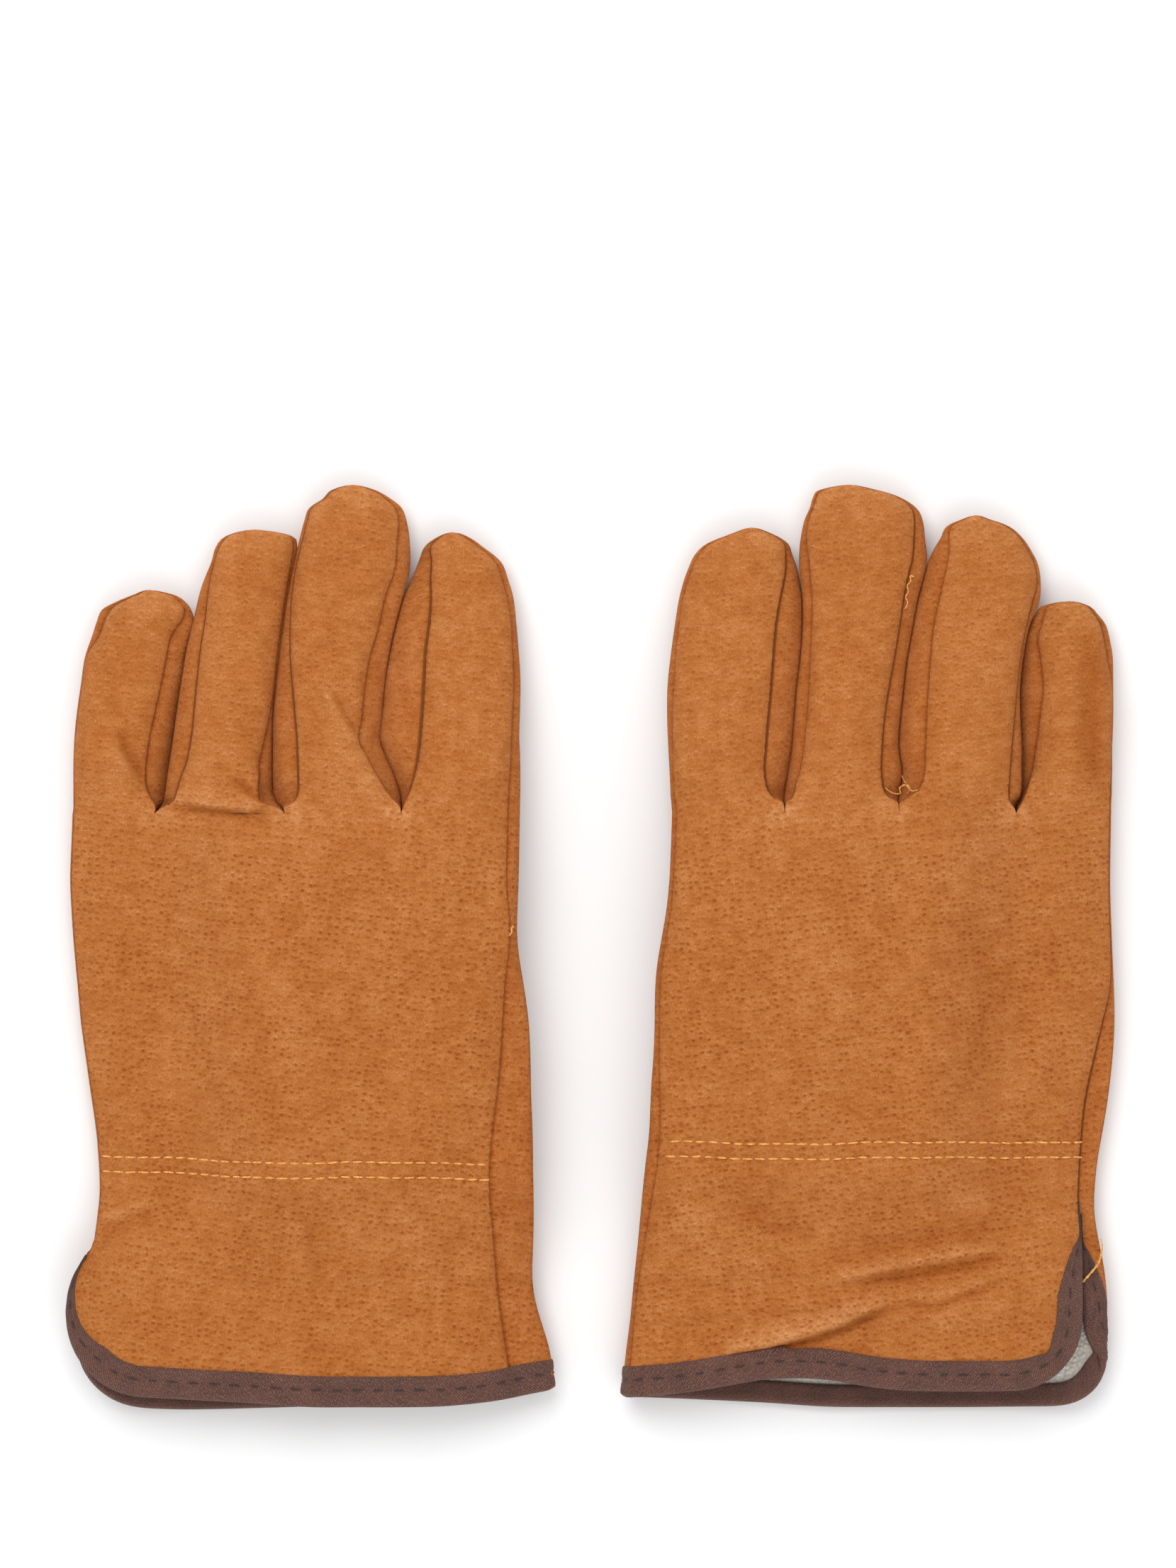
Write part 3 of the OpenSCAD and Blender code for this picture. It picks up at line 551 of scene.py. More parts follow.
def pore_marks(tree, place):
    """Strength of the pores and of the painted highlights to one side of them at a place on the leather, in
    two layers.
    """
    stray = node(tree, "ShaderNodeTexNoise", {"Vector": place, "Scale": 10 / PORE_STRAY, "Detail": 3.0})
    aside = node(tree, "ShaderNodeVectorMath", {0: stray.outputs["Color"], 1: (0.5, 0.5, 0.5)},
                 operation="SUBTRACT")
    aside = node(tree, "ShaderNodeVectorMath", {0: aside.outputs[0], "Scale": PORE_ASIDE / 10},
                 operation="SCALE")
    strayed = node(tree, "ShaderNodeVectorMath", {0: place, 1: aside.outputs[0]}, operation="ADD")
    marks = [0.0, 0.0]
    for gap, turn, least, most, shift in PORE_LAYERS:
        rows = node(tree, "ShaderNodeMapping", {
            "Vector": strayed.outputs[0], "Scale": (9.4 / gap, 10 / gap, 1), "Rotation": (0, 0, turn)})
        layer = node(tree, "ShaderNodeVectorMath", {0: rows.outputs[0], 1: (shift, shift, 0)},
                     operation="ADD")
        cell = node(tree, "ShaderNodeTexVoronoi", {
            "Vector": layer.outputs[0], "Scale": 1.0, "Randomness": 0.5}, voronoi_dimensions="2D")
        local = node(tree, "ShaderNodeVectorMath", {0: layer.outputs[0], 1: cell.outputs["Position"]},
                     operation="SUBTRACT")
        chance = node(tree, "ShaderNodeSeparateColor", {0: cell.outputs["Color"]})
        strength = node(tree, "ShaderNodeMapRange", {
            0: chance.outputs[0], 1: 0.2, 2: 0.8, 3: least, 4: most}, interpolation_type="SMOOTHSTEP")
        for number, (offset, slimness, reach) in enumerate((PORE, PORE_HIGHLIGHT)):
            moved = node(tree, "ShaderNodeVectorMath", {0: local.outputs[0], 1: offset}, operation="ADD")
            slim = node(tree, "ShaderNodeVectorMath", {0: moved.outputs[0], 1: slimness},
                        operation="MULTIPLY")
            away = node(tree, "ShaderNodeVectorMath", {0: slim.outputs[0]}, operation="LENGTH")
            dot = node(tree, "ShaderNodeMapRange", {0: away.outputs["Value"], 1: reach, 2: 0.02},
                       interpolation_type="SMOOTHSTEP")
            mark = node(tree, "ShaderNodeMath", {0: dot.outputs[0], 1: strength.outputs[0]},
                        operation="MULTIPLY")
            marks[number] = node(tree, "ShaderNodeMath", {0: marks[number], 1: mark.outputs[0]},
                                 operation="MAXIMUM").outputs[0]
    return marks


def suede_material(name, base, seam):
    """Suede of a base colour, with another, darker and redder, as painted shade deep in its creases and
    seams. One tone runs from deep to pale, and carries wear, painted highlight and painted shade.
    """
    material, tree = new_finish(name)
    place = node(tree, "ShaderNodeUVMap", uv_map="leather_cm").outputs[0]
    worn_and_painted_light = node(tree, "ShaderNodeAttribute", attribute_name="worn_and_painted_light").outputs["Fac"]

    pores, pore_highlights = pore_marks(tree, place)
    patches = node(tree, "ShaderNodeTexNoise", {"Vector": place, "Scale": 10 / PORE_PATCH, "Detail": 2.0})
    down = node(tree, "ShaderNodeSeparateXYZ", {0: place})
    for value, low, high, at_low, at_high in ((patches.outputs[0], 0.3, 0.65, 0.5, 1.0),
                                              (down.outputs[1], 2.5, 5.0, 1.0, 0.6)):
        share = node(tree, "ShaderNodeMapRange", {0: value, 1: low, 2: high, 3: at_low, 4: at_high},
                     interpolation_type="SMOOTHSTEP")
        pores = node(tree, "ShaderNodeMath", {0: pores, 1: share.outputs[0]},
                     operation="MULTIPLY").outputs[0]

    along_nap = node(tree, "ShaderNodeMapping", {
        "Vector": place, "Scale": (10 / NAP[0], 10 / NAP[1], 1), "Rotation": (0, 0, 0.35)}).outputs[0]
    patterns = []
    for where, scale, detail, roughness, weight in (
            (along_nap, 1.0, 3.0, 0.65, 0.1), (place, 10 / GRAIN, 4.0, 0.8, 0.19),
            *[(place, 10 / size, *rest) for size, *rest in CLOUDS]):
        noise = node(tree, "ShaderNodeTexNoise", {
            "Vector": where, "Scale": scale, "Detail": detail, "Roughness": roughness})
        swing = node(tree, "ShaderNodeMapRange", {0: noise.outputs[0], 1: 0.3, 2: 0.7, 3: -1.0, 4: 1.0},
                     interpolation_type="SMOOTHSTEP")
        patterns.append((swing.outputs[0], weight))
    fibres = node(tree, "ShaderNodeTexNoise", {"Vector": place, "Scale": 10 / FLECK, "Detail": 2.0})
    flecks = node(tree, "ShaderNodeMapRange", {0: fibres.outputs[0], 1: 0.68, 2: 0.8},
                  interpolation_type="SMOOTHSTEP")
    # One tone from the mesh: wear, painted highlight on ridges and knuckles, painted shade in creases and
    # seam grooves
    rubbed_and_painted_light = node(tree, "ShaderNodeMapRange", {0: worn_and_painted_light, 1: -0.9, 2: 0.9, 3: -1.0, 4: 1.0},
                  interpolation_type="SMOOTHSTEP")
    # Pores darken the tone, partly their own colour and partly painted shade in the pits; a painted
    # highlight pales one side of each
    tone = 0.02
    for value, weight in (*patterns, (pores, -0.66), (pore_highlights, 0.22), (flecks.outputs[0], 0.4),
                          (rubbed_and_painted_light.outputs[0], 0.3)):
        tone = node(tree, "ShaderNodeMath", {0: value, 1: weight, 2: tone},
                    operation="MULTIPLY_ADD").outputs[0]

    red = node(tree, "ShaderNodeMath", {0: 2.0, 1: tone}, operation="POWER").outputs[0]
    green, blue = [node(tree, "ShaderNodeMath", {0: red, 1: power}, operation="POWER").outputs[0]
                   for power in (1.9, 4.0)]
    shade = node(tree, "ShaderNodeCombineColor", {0: red, 1: green, 2: blue})
    colour = node(tree, "ShaderNodeMix", {0: 1.0, 6: srgb(base), 7: shade.outputs[0]},
                  data_type="RGBA", blend_type="MULTIPLY")
    # Where that tone is deepest, in creases and seam grooves, the second colour is mixed in as painted shade
    deep = node(tree, "ShaderNodeMapRange", {0: worn_and_painted_light, 1: -0.9, 2: -1.6, 3: 0.0, 4: 0.5},
                interpolation_type="SMOOTHSTEP")
    colour = node(tree, "ShaderNodeMix", {0: deep.outputs[0], 6: colour.outputs[2], 7: srgb(seam)},
                  data_type="RGBA")
    height = 0.0
    for value, weight in ((pores, -0.8), (patterns[0][0], 0.25), (patterns[1][0], 0.25)):
        height = node(tree, "ShaderNodeMath", {0: value, 1: weight, 2: height},
                      operation="MULTIPLY_ADD").outputs[0]
    close_finish(tree, colour.outputs[2], 0.92, height, 0.0003, 0.12, "#f2b070")
    return material


# The second colour of each is the painted shade deep in creases and seam grooves
SUEDE = suede_material("orange_suede", "#c47434", "#6e3614")
PALM_SUEDE = suede_material("palm_suede", "#c27031", "#663212")


# The fleece lining is a white knit with a short looped pile, a little grey with handling. Its tufts give the
# eye a soft, broken white, with painted shade in the gaps between them. Real loops are half as wide, too
# fine to show.
TUFT = 1.11                # mm across a tuft of the pile
GREY_PATCH = 16.7          # mm across a patch that handling has greyed


def fleece_material():
    """Pale tufts with painted shade in the gaps between them, in whiter and greyer patches."""
    material, tree = new_finish("white_fleece")
    place = node(tree, "ShaderNodeTexCoord").outputs["Object"]
    tufts = node(tree, "ShaderNodeTexVoronoi", {"Vector": place, "Scale": 1000 / TUFT})
    patches = node(tree, "ShaderNodeTexNoise", {"Vector": place, "Scale": 1000 / GREY_PATCH, "Detail": 3.0})
    colour = srgb("#d2cbc0")
    # The greyer colour of the tufts' gaps is painted shade
    for value, low, high, most, paint in ((patches.outputs[0], 0.3, 0.7, 1.0, "#e9e5dc"),
                                          (tufts.outputs["Distance"], 0.2, 0.8, 0.35, "#a59b8d")):
        share = node(tree, "ShaderNodeMapRange", {0: value, 1: low, 2: high, 4: most},
                     interpolation_type="SMOOTHSTEP")
        colour = node(tree, "ShaderNodeMix", {0: share.outputs[0], 6: colour, 7: srgb(paint)},
                      data_type="RGBA").outputs[2]
    pile = node(tree, "ShaderNodeMath", {0: 1.0, 1: tufts.outputs["Distance"]}, operation="SUBTRACT")
    close_finish(tree, colour, 0.95, pile.outputs[0], 0.0005, 0.4)
    return material


FLEECE = fleece_material()


def dress(piece, material, slot, body, *nodes):
    """Gives a finished piece its material and body, and hides the CAD nodes that it stands for. The slot is
    not used.
    """
    piece.data.materials.clear()
    piece.data.materials.append(material)
    if body:
        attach(piece, body)
    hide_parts(*nodes)
    return piece


def joint_place(name):
    """A joint's place in the frame, in millimetres."""
    joint = next(j for j in frame["record"]["behaviour"]["joints"] if j["name"] == name)
    return np.array(joint["pos_m"]) * 1000


HOLE_HALF = (9.8, 9.4)     # half size of the thumb hole in the palm
TAPED_CELLS = 4            # cells at the palm's vent edge where the leather stops short inside the tape
TAPED_FROM = 18            # how far down the vent that begins
FLEECE_CUT = (-3, 23)      # from where to where down the vent the fleece is cut back beside it
FLEECE_CORNER = 39.5       # how far down the vent the fleece ends inside the tape's corner


def under_folds(grid, column):
    """The grid with its back lowered to the deepest fold within two cells, for the lining under it."""
    z = grid[:, :column + 1, 2]
    low, padded = z.copy(), np.pad(z, 2, mode="edge")
    for down in range(5):
        for across in range(5):
            low = np.minimum(low, padded[down:down + z.shape[0], across:across + z.shape[1]])
    calm = grid.copy()
    inward = np.clip(np.minimum(np.arange(column + 1), column - np.arange(column + 1)) / 8, 0, 1)
    calm[:, :column + 1, 2] = z + (low - z) * inward
    return calm


def thumb_hole(glove, x, y):
    """The cells of the hand that lie in the palm's hole, in which the thumb's gusset is sewn."""
    thumb = joint_place(f"{glove['name']}_thumb_swing")
    mid_x = (x[:-1] + x[1:] + np.roll(x, -1, 1)[:-1] + np.roll(x, -1, 1)[1:]) / 4
    mid_y = (y[:-1] + y[1:]) / 2
    from_thumb = np.abs(mid_x - thumb[0]) / HOLE_HALF[0], np.abs(mid_y - thumb[1]) / HOLE_HALF[1]
    in_hole = from_thumb[0] ** 3 + from_thumb[1] ** 3 < 1
    in_hole[:, :BACKS + SIDE] = False
    in_hole[:, BACKS + SIDE + PALMS:] = False
    return in_hole


def hand_leather(glove):
    """The back and palm leather of a hand, with the vent and with the hole for its thumb."""
    name, side = glove["name"], glove["side"]
    grid = hand_surface(glove)
    flip = side < 0
    normals = surface_normals(grid, flip)
    rows, cols = grid.shape[:2]
    y, x = grid[:, :, 1], grid[:, :, 0]
    room = np.broadcast_to(hand_height(y) / 2, y.shape)
    # Along the vent the two edges don't belong together, so each takes its neighbour's normal
    vent = y[:, 0] < glove["vent_top"] + 1
    normals[vent, :2] = normals[vent, 2:3]
    normals[vent, -3:] = normals[vent, -4:-3]
    keep = np.ones((rows - 1, cols), bool)
    slit = y[1:, 0] < glove["vent_top"]
    keep[slit, -1] = False
    keep &= ~thumb_hole(glove, x, y)
    glove.update(grid=grid, normals=normals, keep=keep, room=room, slit_row=int(np.argmax(slit)))

    uv = leather_uv(grid, BACKS // 2, side)
    closed = np.where(y < glove["vent_top"], 0.0, 1.0)
    groove = np.maximum(seam_grooves(uv, y, [0]) * closed, seam_grooves(uv, y, [BACKS, BACKS + SIDE]))
    outer = grid - normals * groove[..., None]
    _, worn_and_painted_light = folds(glove, x, y)
    # The fold tone stays on the back; the seam grooves are painted darker, as painted shade
    worn_and_painted_light = np.where(np.arange(cols) <= BACKS, worn_and_painted_light, 0) - groove * 2.5
    down_vent = glove["vent_top"] - y[1:, -1]
    leather_keep = keep.copy()
    leather_keep[down_vent > TAPED_FROM, -TAPED_CELLS:] = False
    inner = inside(grid, normals, LEATHER, room)
    shown = surface_normals(outer, flip)
    glove["seam_normals"] = shown[0]
    shared = dict(normals=shown, uv=uv, worn_and_painted_light=worn_and_painted_light)
    back_cells = np.arange(cols) < BACKS
    back = wall(f"{name}_back_suede", outer, inner, leather_keep & back_cells, flip, **shared)
    dress(back, SUEDE, "suede_leather", f"{name}_hand", f"{name}_back_panel")
    palm = wall(f"{name}_palm_suede", outer, inner, leather_keep & ~back_cells, flip, **shared)
    dress(palm, PALM_SUEDE, "palm_leather", f"{name}_hand", f"{name}_palm_panel")
    return leather_keep, down_vent


def hand_fleece(glove, leather_keep, down_vent):
    """The fleece inside a hand, in cells twice as coarse, cut back where it would show at the vent."""
    name, grid, normals, room = glove["name"], glove["grid"], glove["normals"], glove["room"]
    rows, cols = grid.shape[:2]
    calm = under_folds(grid, column=BACKS)
    # It sinks towards the knuckles, where the crotches reach down into the hand
    calm[:, :, 2] -= 2.0 * ease(30, KNUCKLE_LINE, grid[:, :, 1]) * (np.arange(cols) < BACKS)
    cells = leather_keep.copy()
    cells[down_vent > FLEECE_CORNER, -4 * TAPED_CELLS:] = False
    cut = (down_vent > FLEECE_CUT[0]) & (down_vent < FLEECE_CUT[1])
    cells[cut, -3 * TAPED_CELLS:] = False
    cells[cut, :2 * TAPED_CELLS] = False
    half = (rows - 1) // 2
    fleece_keep = cells[::2, ::2][:half] & cells[1::2, ::2] & cells[::2, 1::2][:half]
    face = inside(calm, normals, LEATHER + 0.1, room)[::2, ::2]
    pile = inside(calm, normals, LINING, room)[::2, ::2]
    fleece = wall(f"{name}_hand_fleece", face, pile, fleece_keep, glove["side"] < 0)
    dress(fleece, FLEECE, "fleece_lining", f"{name}_hand", f"{name}_hand_lining")


for glove in GLOVES:
    hand_fleece(glove, *hand_leather(glove))


# ---- The finger stalls ----
# Each stall is a part of the back panel over a part of the palm panel, with a narrow fourchette
# between them at each side that faces another finger. The left middle and ring stalls lie folded.

# Outline of each finger by y: edge, back seam, back seam, edge, from the little finger's side,
# and then its tip
FINGERS = {
    "left": {
        "little": ([
            (36, -139.2, -138.9, -116.8, -116.8), (37.6, -139, -138.7, -116.4, -115.8),
            (39.2, -139, -138.7, -117, -114.6), (41.2, -139, -138.7, -118, -113.9),
            (44.7, -139, -138.7, -119, -113.3), (50, -139, -138.7, -118.8, -112.7),
            (57, -138.7, -138.4, -117.8, -111.7), (64, -138, -137.7, -116.3, -110.8),
            (71, -137, -136.7, -114.8, -109.8), (78, -136, -135.7, -113.5, -108.8),
            (84, -134, -132, -112.2, -107.4), (88, -132.7, -130.6, -109.5, -106.4),
            (91, -131.4, -129, -108.6, -107.2), (93, -128, -126.2, -110, -108.6),
            (95, -123.2, -122, -112.6, -111.5)], (96.5, -118.5)),
        "ring": ([
            (36, -116.8, -116.8, -81, -81), (37.6, -115.8, -114.8, -83, -82.3),
            (38.3, -115.2, -113, -85.4, -83), (39.4, -114.5, -111.6, -87.7, -83.9),
            (42, -113.8, -110.7, -88.4, -84.6), (46, -113.3, -109.5, -88.1, -84.8),
            (50, -112.7, -107.9, -88.1, -84.8), (57, -111.7, -106.6, -86.6, -84.8),
            (64, -110.8, -106, -85.2, -84.7), (71, -109.8, -105.4, -84.3, -83.8),
            (80, -108.4, -104.5, -83.4, -82.8), (89, -106.4, -103.2, -82.2, -81.6),
            (97, -104.5, -102.5, -81, -80.4), (104, -101.8, -101, -79.8, -79.2),
            (108, -100.6, -99.6, -79.4, -78.6), (111, -97.8, -97, -80.6, -80)], (112.8, -90)),
        "middle": ([
            (36, -81, -81, -50.1, -50.1), (37.6, -82.3, -81.5, -50.3, -50.1),
            (38.3, -83, -80.3, -50.7, -50.2), (39.4, -83.9, -78.7, -51.6, -50.3),
            (42, -84.6, -77.6, -53.6, -50.6), (47, -84.8, -77.7, -56.8, -52.4),
            (52, -84.8, -77.9, -59.4, -54.6), (56, -84.8, -78.1, -61.4, -56),
            (62, -84.8, -78.7, -60.6, -55.5), (70, -84.2, -79.5, -59.8, -54.9),
            (78, -83.4, -80.2, -58.5, -53.8), (86, -82.4, -80.4, -56.2, -52.2),
            (94, -81.2, -80.1, -54.5, -50.1), (102, -79.8, -79.1, -51.8, -48.1),
            (110, -78, -77.2, -51.2, -48.2), (115, -76.7, -75.9, -50.9, -49),
            (118.5, -75.4, -74.7, -52, -50.3), (121, -71.8, -71.2, -54.6, -53.2),
            (123.5, -69.2, -68.6, -58.4, -57.6)], (124.9, -63.5)),
        "index": ([
            (36, -50.1, -50.1, -21.2, -18.3), (38.5, -50.1, -49.2, -21.1, -18.3),
            (42, -50.6, -48, -21, -18.2), (47, -52.4, -46.5, -20.7, -18.2),
            (52, -54.6, -45.5, -20.5, -18.3), (57, -56.1, -44.9, -20.3, -18.5),
            (64, -55.4, -44.4, -20, -18.3), (72, -54.7, -44, -19.8, -18.2),
            (80, -53.4, -43.6, -20.2, -18.7), (87, -52, -42.7, -20.5, -19.3),
            (94, -50.1, -42.3, -21.6, -20.1), (99, -47.9, -42.5, -23, -21.5),
            (104, -45.8, -42.3, -25, -23.5), (108, -44.2, -42.6, -29.4, -28.3),
            (110.6, -40.9, -40, -33, -32)], (112.1, -36.5)),
    },
    "right": {
        "index": ([
            (36, 52.7, 52.7, 23.6, 22.6), (39, 52.7, 52.3, 23.2, 22.4), (39.9, 52.7, 50.9, 23, 22.3),
            (41, 52.8, 49.3, 22.9, 22.2), (43.5, 53.2, 48, 22.8, 22.1),
            (48, 54, 47.4, 22.6, 21.9), (54, 54.9, 47.8, 22.5, 21.6),
            (62, 55.6, 48.5, 22.5, 21.3), (70, 56.3, 49.3, 22.9, 21.4), (78, 57.3, 49.9, 23.4, 22.2),
            (86, 57.9, 50.6, 24.2, 23.3), (93, 58, 51.7, 25.2, 24.4), (98, 57.3, 52.8, 26.5, 25.6),
            (102, 56.6, 53.5, 27.9, 27), (106, 55.2, 53.5, 29.9, 28.9), (109, 54, 53, 33, 32.2),
            (111.5, 50, 49.3, 39, 38.4)], (113.4, 44.2)),
        "middle": ([
            (36, 83.4, 83.4, 52.7, 52.7), (39, 83.4, 83, 53.1, 52.7), (39.9, 83.4, 82, 54.1, 52.7),
            (41, 83.5, 80.3, 54.9, 52.8), (43.5, 84, 79.2, 55.4, 53.2),
            (48, 84.4, 78.8, 56.8, 54), (54, 83.5, 79.1, 57.8, 54.9), (62, 84.1, 79.8, 58.6, 55.6),
            (70, 85, 81.1, 59.2, 56.3), (78, 86, 82.6, 59.6, 57.3), (86, 87.5, 84, 60, 57.9),
            (94, 89, 85.2, 60.1, 57.9), (100, 90.7, 86.4, 59.6, 57.2), (105, 91.6, 87.7, 59.2, 57),
            (110, 91.1, 88.1, 58.6, 57.4), (115, 90.5, 88.3, 59.2, 58.4),
            (118.5, 88.8, 87.4, 60.6, 59.9), (121.5, 84.3, 83.6, 61.6, 60.8),
            (123.5, 78, 77.4, 63.4, 62.6)], (124.9, 70.5)),
        "ring": ([
            (36, 115.2, 115.2, 83.4, 83.4), (37.6, 115.4, 114.6, 83.4, 83.4),
            (38.6, 115.8, 113.7, 83.4, 83.4), (39.7, 116.1, 113.4, 84.4, 83.4),
            (41, 116.4, 113.3, 86.4, 83.5), (43.5, 116.7, 113.3, 89, 84),
            (48, 116.7, 113.6, 90.2, 84.4), (54, 116.8, 114.1, 90.4, 83.5),
            (62, 116.5, 115, 90.8, 84.1), (70, 116.5, 115.8, 91.3, 85), (78, 117.4, 116.8, 92, 86),
            (86, 119, 118.3, 92.8, 87.5), (93, 121.8, 120, 94.3, 88.8), (98, 122.3, 121.3, 95.4, 90.1),
            (103, 121.7, 120.7, 96.6, 91.5), (107, 119.8, 118.9, 97.2, 93.2),
            (110.5, 117.4, 116.6, 97.3, 95.3), (113.5, 114, 113.3, 98, 96.8),
            (115.5, 108.7, 108.2, 101.4, 100.8)], (116.7, 105)),
        "little": ([
            (36, 141.3, 141, 115.2, 115.2), (37.6, 141.3, 141, 115.9, 115.4),
            (38.6, 141.3, 141, 116.5, 115.8), (40, 141.4, 141.1, 117.1, 116.2),
            (42, 141.5, 141.2, 117.8, 116.5), (44.5, 141.5, 141.2, 118.6, 116.7),
            (48, 141.6, 141.3, 119.6, 116.7),
            (54, 141.6, 141.3, 120.6, 116.8), (62, 141.9, 141.6, 121.6, 116.5),
            (70, 141.9, 141.6, 122.5, 116.5), (78, 141.8, 140.2, 121.8, 117.4),
            (83, 141, 139.4, 121.1, 118.2), (87, 139.9, 138.4, 122.3, 119.4),
            (90, 137.6, 136.6, 123.2, 121), (92, 135.6, 134.8, 124.2, 122.6)], (93.5, 130)),
    },
}
FINGER_ORDER = ("little", "ring", "middle", "index")
CROTCH = (38, 50)      # y over which a stall leaves the hand's section for its own
VALLEY = (37, 42)      # y over which the strips beside a crotch sink between the fingers
BEND = (41, 55)        # y over which the leather bends at the knuckle
JOINT_LINE = 45        # y of the knuckle joints
STALL_TALL, TIP_TALL = 15, 12.5     # thickness of a stall at the knuckle and towards its tip
TIP_ROUND = 17         # length of the rounded tip
FLEECE_SINKS = (47, 41)     # y over which a stall's fleece sinks away from the leather at the crotch
FLEECE_ENDS = 43       # y below which it leaves out the cells beside a crotch


def through(stations, gap=0.9):
    """A smooth curve (Catmull-Rom) through the stations, with points about a gap apart."""
    points = []
    for k in range(1, len(stations) - 2):
        a, b, c, d = stations[k - 1:k + 3]
        reach = max(np.abs(c - b).max() if k > len(stations) - 6 else abs(c[0] - b[0]), 0.8)
        steps = max(2, int(round(reach / gap)))
        for t in np.arange(steps) / steps:
            points.append(0.5 * (2 * b + (c - a) * t + (2 * a - 5 * b + 4 * c - d) * t**2
                                 + (3 * b - a - 3 * c + d) * t**3))
    return np.array(points)


def finger_surface(glove, finger):
    """The outer face of a stall as a grid, from the tip to the knuckle line."""
    side = glove["side"]
    table, (tip_y, tip_x) = FINGERS[glove["name"]][finger]
    # The curve goes on past the table at both ends: down into the hand, and back round the tip
    stations = [np.array(row, float) for row in table]
    first = stations[0] + (stations[0] - stations[1])
    mirror = stations[-1][[0, 4, 3, 2, 1]]
    tip = np.array([tip_y] + [tip_x] * 4, float)
    curve = through([first, *stations, tip, mirror])[:, :, None]
    # Side a faces the little finger's side of the glove and side b its thumb side
    y, a, seam_a, seam_b, b = (curve[:, k] for k in range(5))
    own = ease(*CROTCH, y)
    width = np.abs(b - a)
    before_tip = width[np.argmax(y[:, 0] > tip_y - TIP_ROUND)]
    cap = np.where(y > tip_y - TIP_ROUND, np.minimum(1, width / before_tip) ** 0.8, 1)
    cap = cap * (1 - 0.25 * ease(tip_y - 9, tip_y, y))
    outer_a, outer_b = finger == "little", finger == "index"
    level_a = LITTLE_LEVEL if outer_a else 0.15 + 0.5 * np.clip(np.abs(seam_a - a) / 7, 0, 1)
    level_b = THUMB_LEVEL if outer_b else 0.15 + 0.5 * np.clip(np.abs(b - seam_b) / 7, 0, 1)
    level_a, level_b = np.broadcast_to(level_a, y.shape), np.broadcast_to(level_b, y.shape)
    inset = np.minimum(SIDE_INSET, 0.12 * width)
    palm_a = a + side * inset * (1 if outer_a else own)
    palm_b = b - side * inset * (1 if outer_b else own)

    s, p = shares(BACK)[None, :], shares(PALM)[None, :]
    seam = level_a + (level_b - level_a) * s
    h_back = seam + (1 - seam) * crown(s, 3.4, 0.6)
    x_b, h_b = side_arc(seam_b, b, palm_b, level_b, SIDE)
    x_a, h_a = side_arc(seam_a, a, palm_a, level_a, SIDE)
    h_palm = -0.8 - 0.2 * crown(p, 3.0, 0.6)
    x = np.hstack([seam_a + (seam_b - seam_a) * s, x_b[:, 1:], (palm_b + (palm_a - palm_b) * p)[:, 1:],
                   x_a[:, ::-1][:, 1:-1]])
    height = np.hstack([h_back, h_b[:, 1:], np.broadcast_to(h_palm, (len(y), PALM + 1))[:, 1:],
                        h_a[:, ::-1][:, 1:-1]])

    # At the knuckle line the stall has the hand's section, and its strips are shut up flat
    little, seam_l, seam_t, thumb = hand_edges(glove, y)
    back_share = np.clip((x - seam_l) / (seam_t - seam_l), 0, 1)
    palm_share = np.clip((x - little - side * SIDE_INSET) / (thumb - little - 2 * side * SIDE_INSET), 0, 1)
    z_back = hand_z(glove, x, y, back_height(glove, back_share))
    z_palm = hand_z(glove, x, y, palm_height(palm_share))
    z_side = hand_z(glove, x, y, height)
    column = np.arange(x.shape[1])
    down_b = np.clip((column - BACK) / SIDE, 0, 1)
    down_a = np.clip((x.shape[1] - column) / SIDE, 0, 1)
    on_b = (column > BACK) & (column < BACK + SIDE)
    on_a = column > BACK + SIDE + PALM
    z_hand = np.where(column <= BACK, z_back, z_palm)
    z_hand = np.where(on_b, z_side if outer_b else z_back + (z_palm - z_back) * down_b, z_hand)
    z_hand = np.where(on_a, z_side if outer_a else z_back + (z_palm - z_back) * down_a, z_hand)

    # Further out it has a section of its own, which comes down to the bench towards the tip
    knuckle = joint_place(f"{glove['name']}_{finger}_curl")
    length = tip_y - knuckle[1]
    floor = (knuckle[2] - STALL_TALL / 2) * (1 - np.clip((y - knuckle[1]) / (0.8 * length), 0, 1))
    tall = STALL_TALL - (STALL_TALL - TIP_TALL) * ease(knuckle[1], tip_y, y)
    z_own = floor + tall / 2 + tall / 2 * cap * height
    on_strip = np.where(on_b & (not outer_b), 4 * down_b * (1 - down_b), 0)
    on_strip = np.where(on_a & (not outer_a), 4 * down_a * (1 - down_a), on_strip) ** 0.5
    z = z_hand + (z_own - z_hand) * (own + (ease(*VALLEY, y) - own) * on_strip)
    # The folds and the soft relief fade out down the sides
    high = np.clip((height + 0.1) / 0.5, 0, 1)
    flat = np.where(column <= BACK, 1.0, 0.0) + np.where(on_b, 1 - down_b, 0) + np.where(on_a, 1 - down_a, 0)
    if outer_a:
        flat = np.where(on_a | (column == 0), high, flat)
    if outer_b:
        flat = np.where(on_b | (column == BACK), high, flat)
    relief = leather_relief(glove, x, y) + 0.16 * waves(x, y, 41, 16) * own
    z = z + relief * (flat + (high - flat) * own) * cap
    room = np.broadcast_to(tall / 2 * cap, x.shape)
    grid = np.stack([x, np.broadcast_to(y, x.shape), z], 2)
    return grid[::-1], room[::-1]


def knuckle_bend(glove, finger):
    """The two places, in metres, between which the leather of a finger bends at its knuckle."""
    knuckle = joint_place(f"{glove['name']}_{finger}_curl") * 0.001
    _, (tip_y, tip_x) = FINGERS[glove["name"]][finger]
    ahead = np.array([tip_x * 0.001 - knuckle[0], tip_y * 0.001 - knuckle[1]])
    ahead = ahead / np.linalg.norm(ahead)
    return [[knuckle[0] + ahead[0] * reach, knuckle[1] + ahead[1] * reach, knuckle[2]]
            for reach in ((at - JOINT_LINE) * 0.001 for at in BEND)]


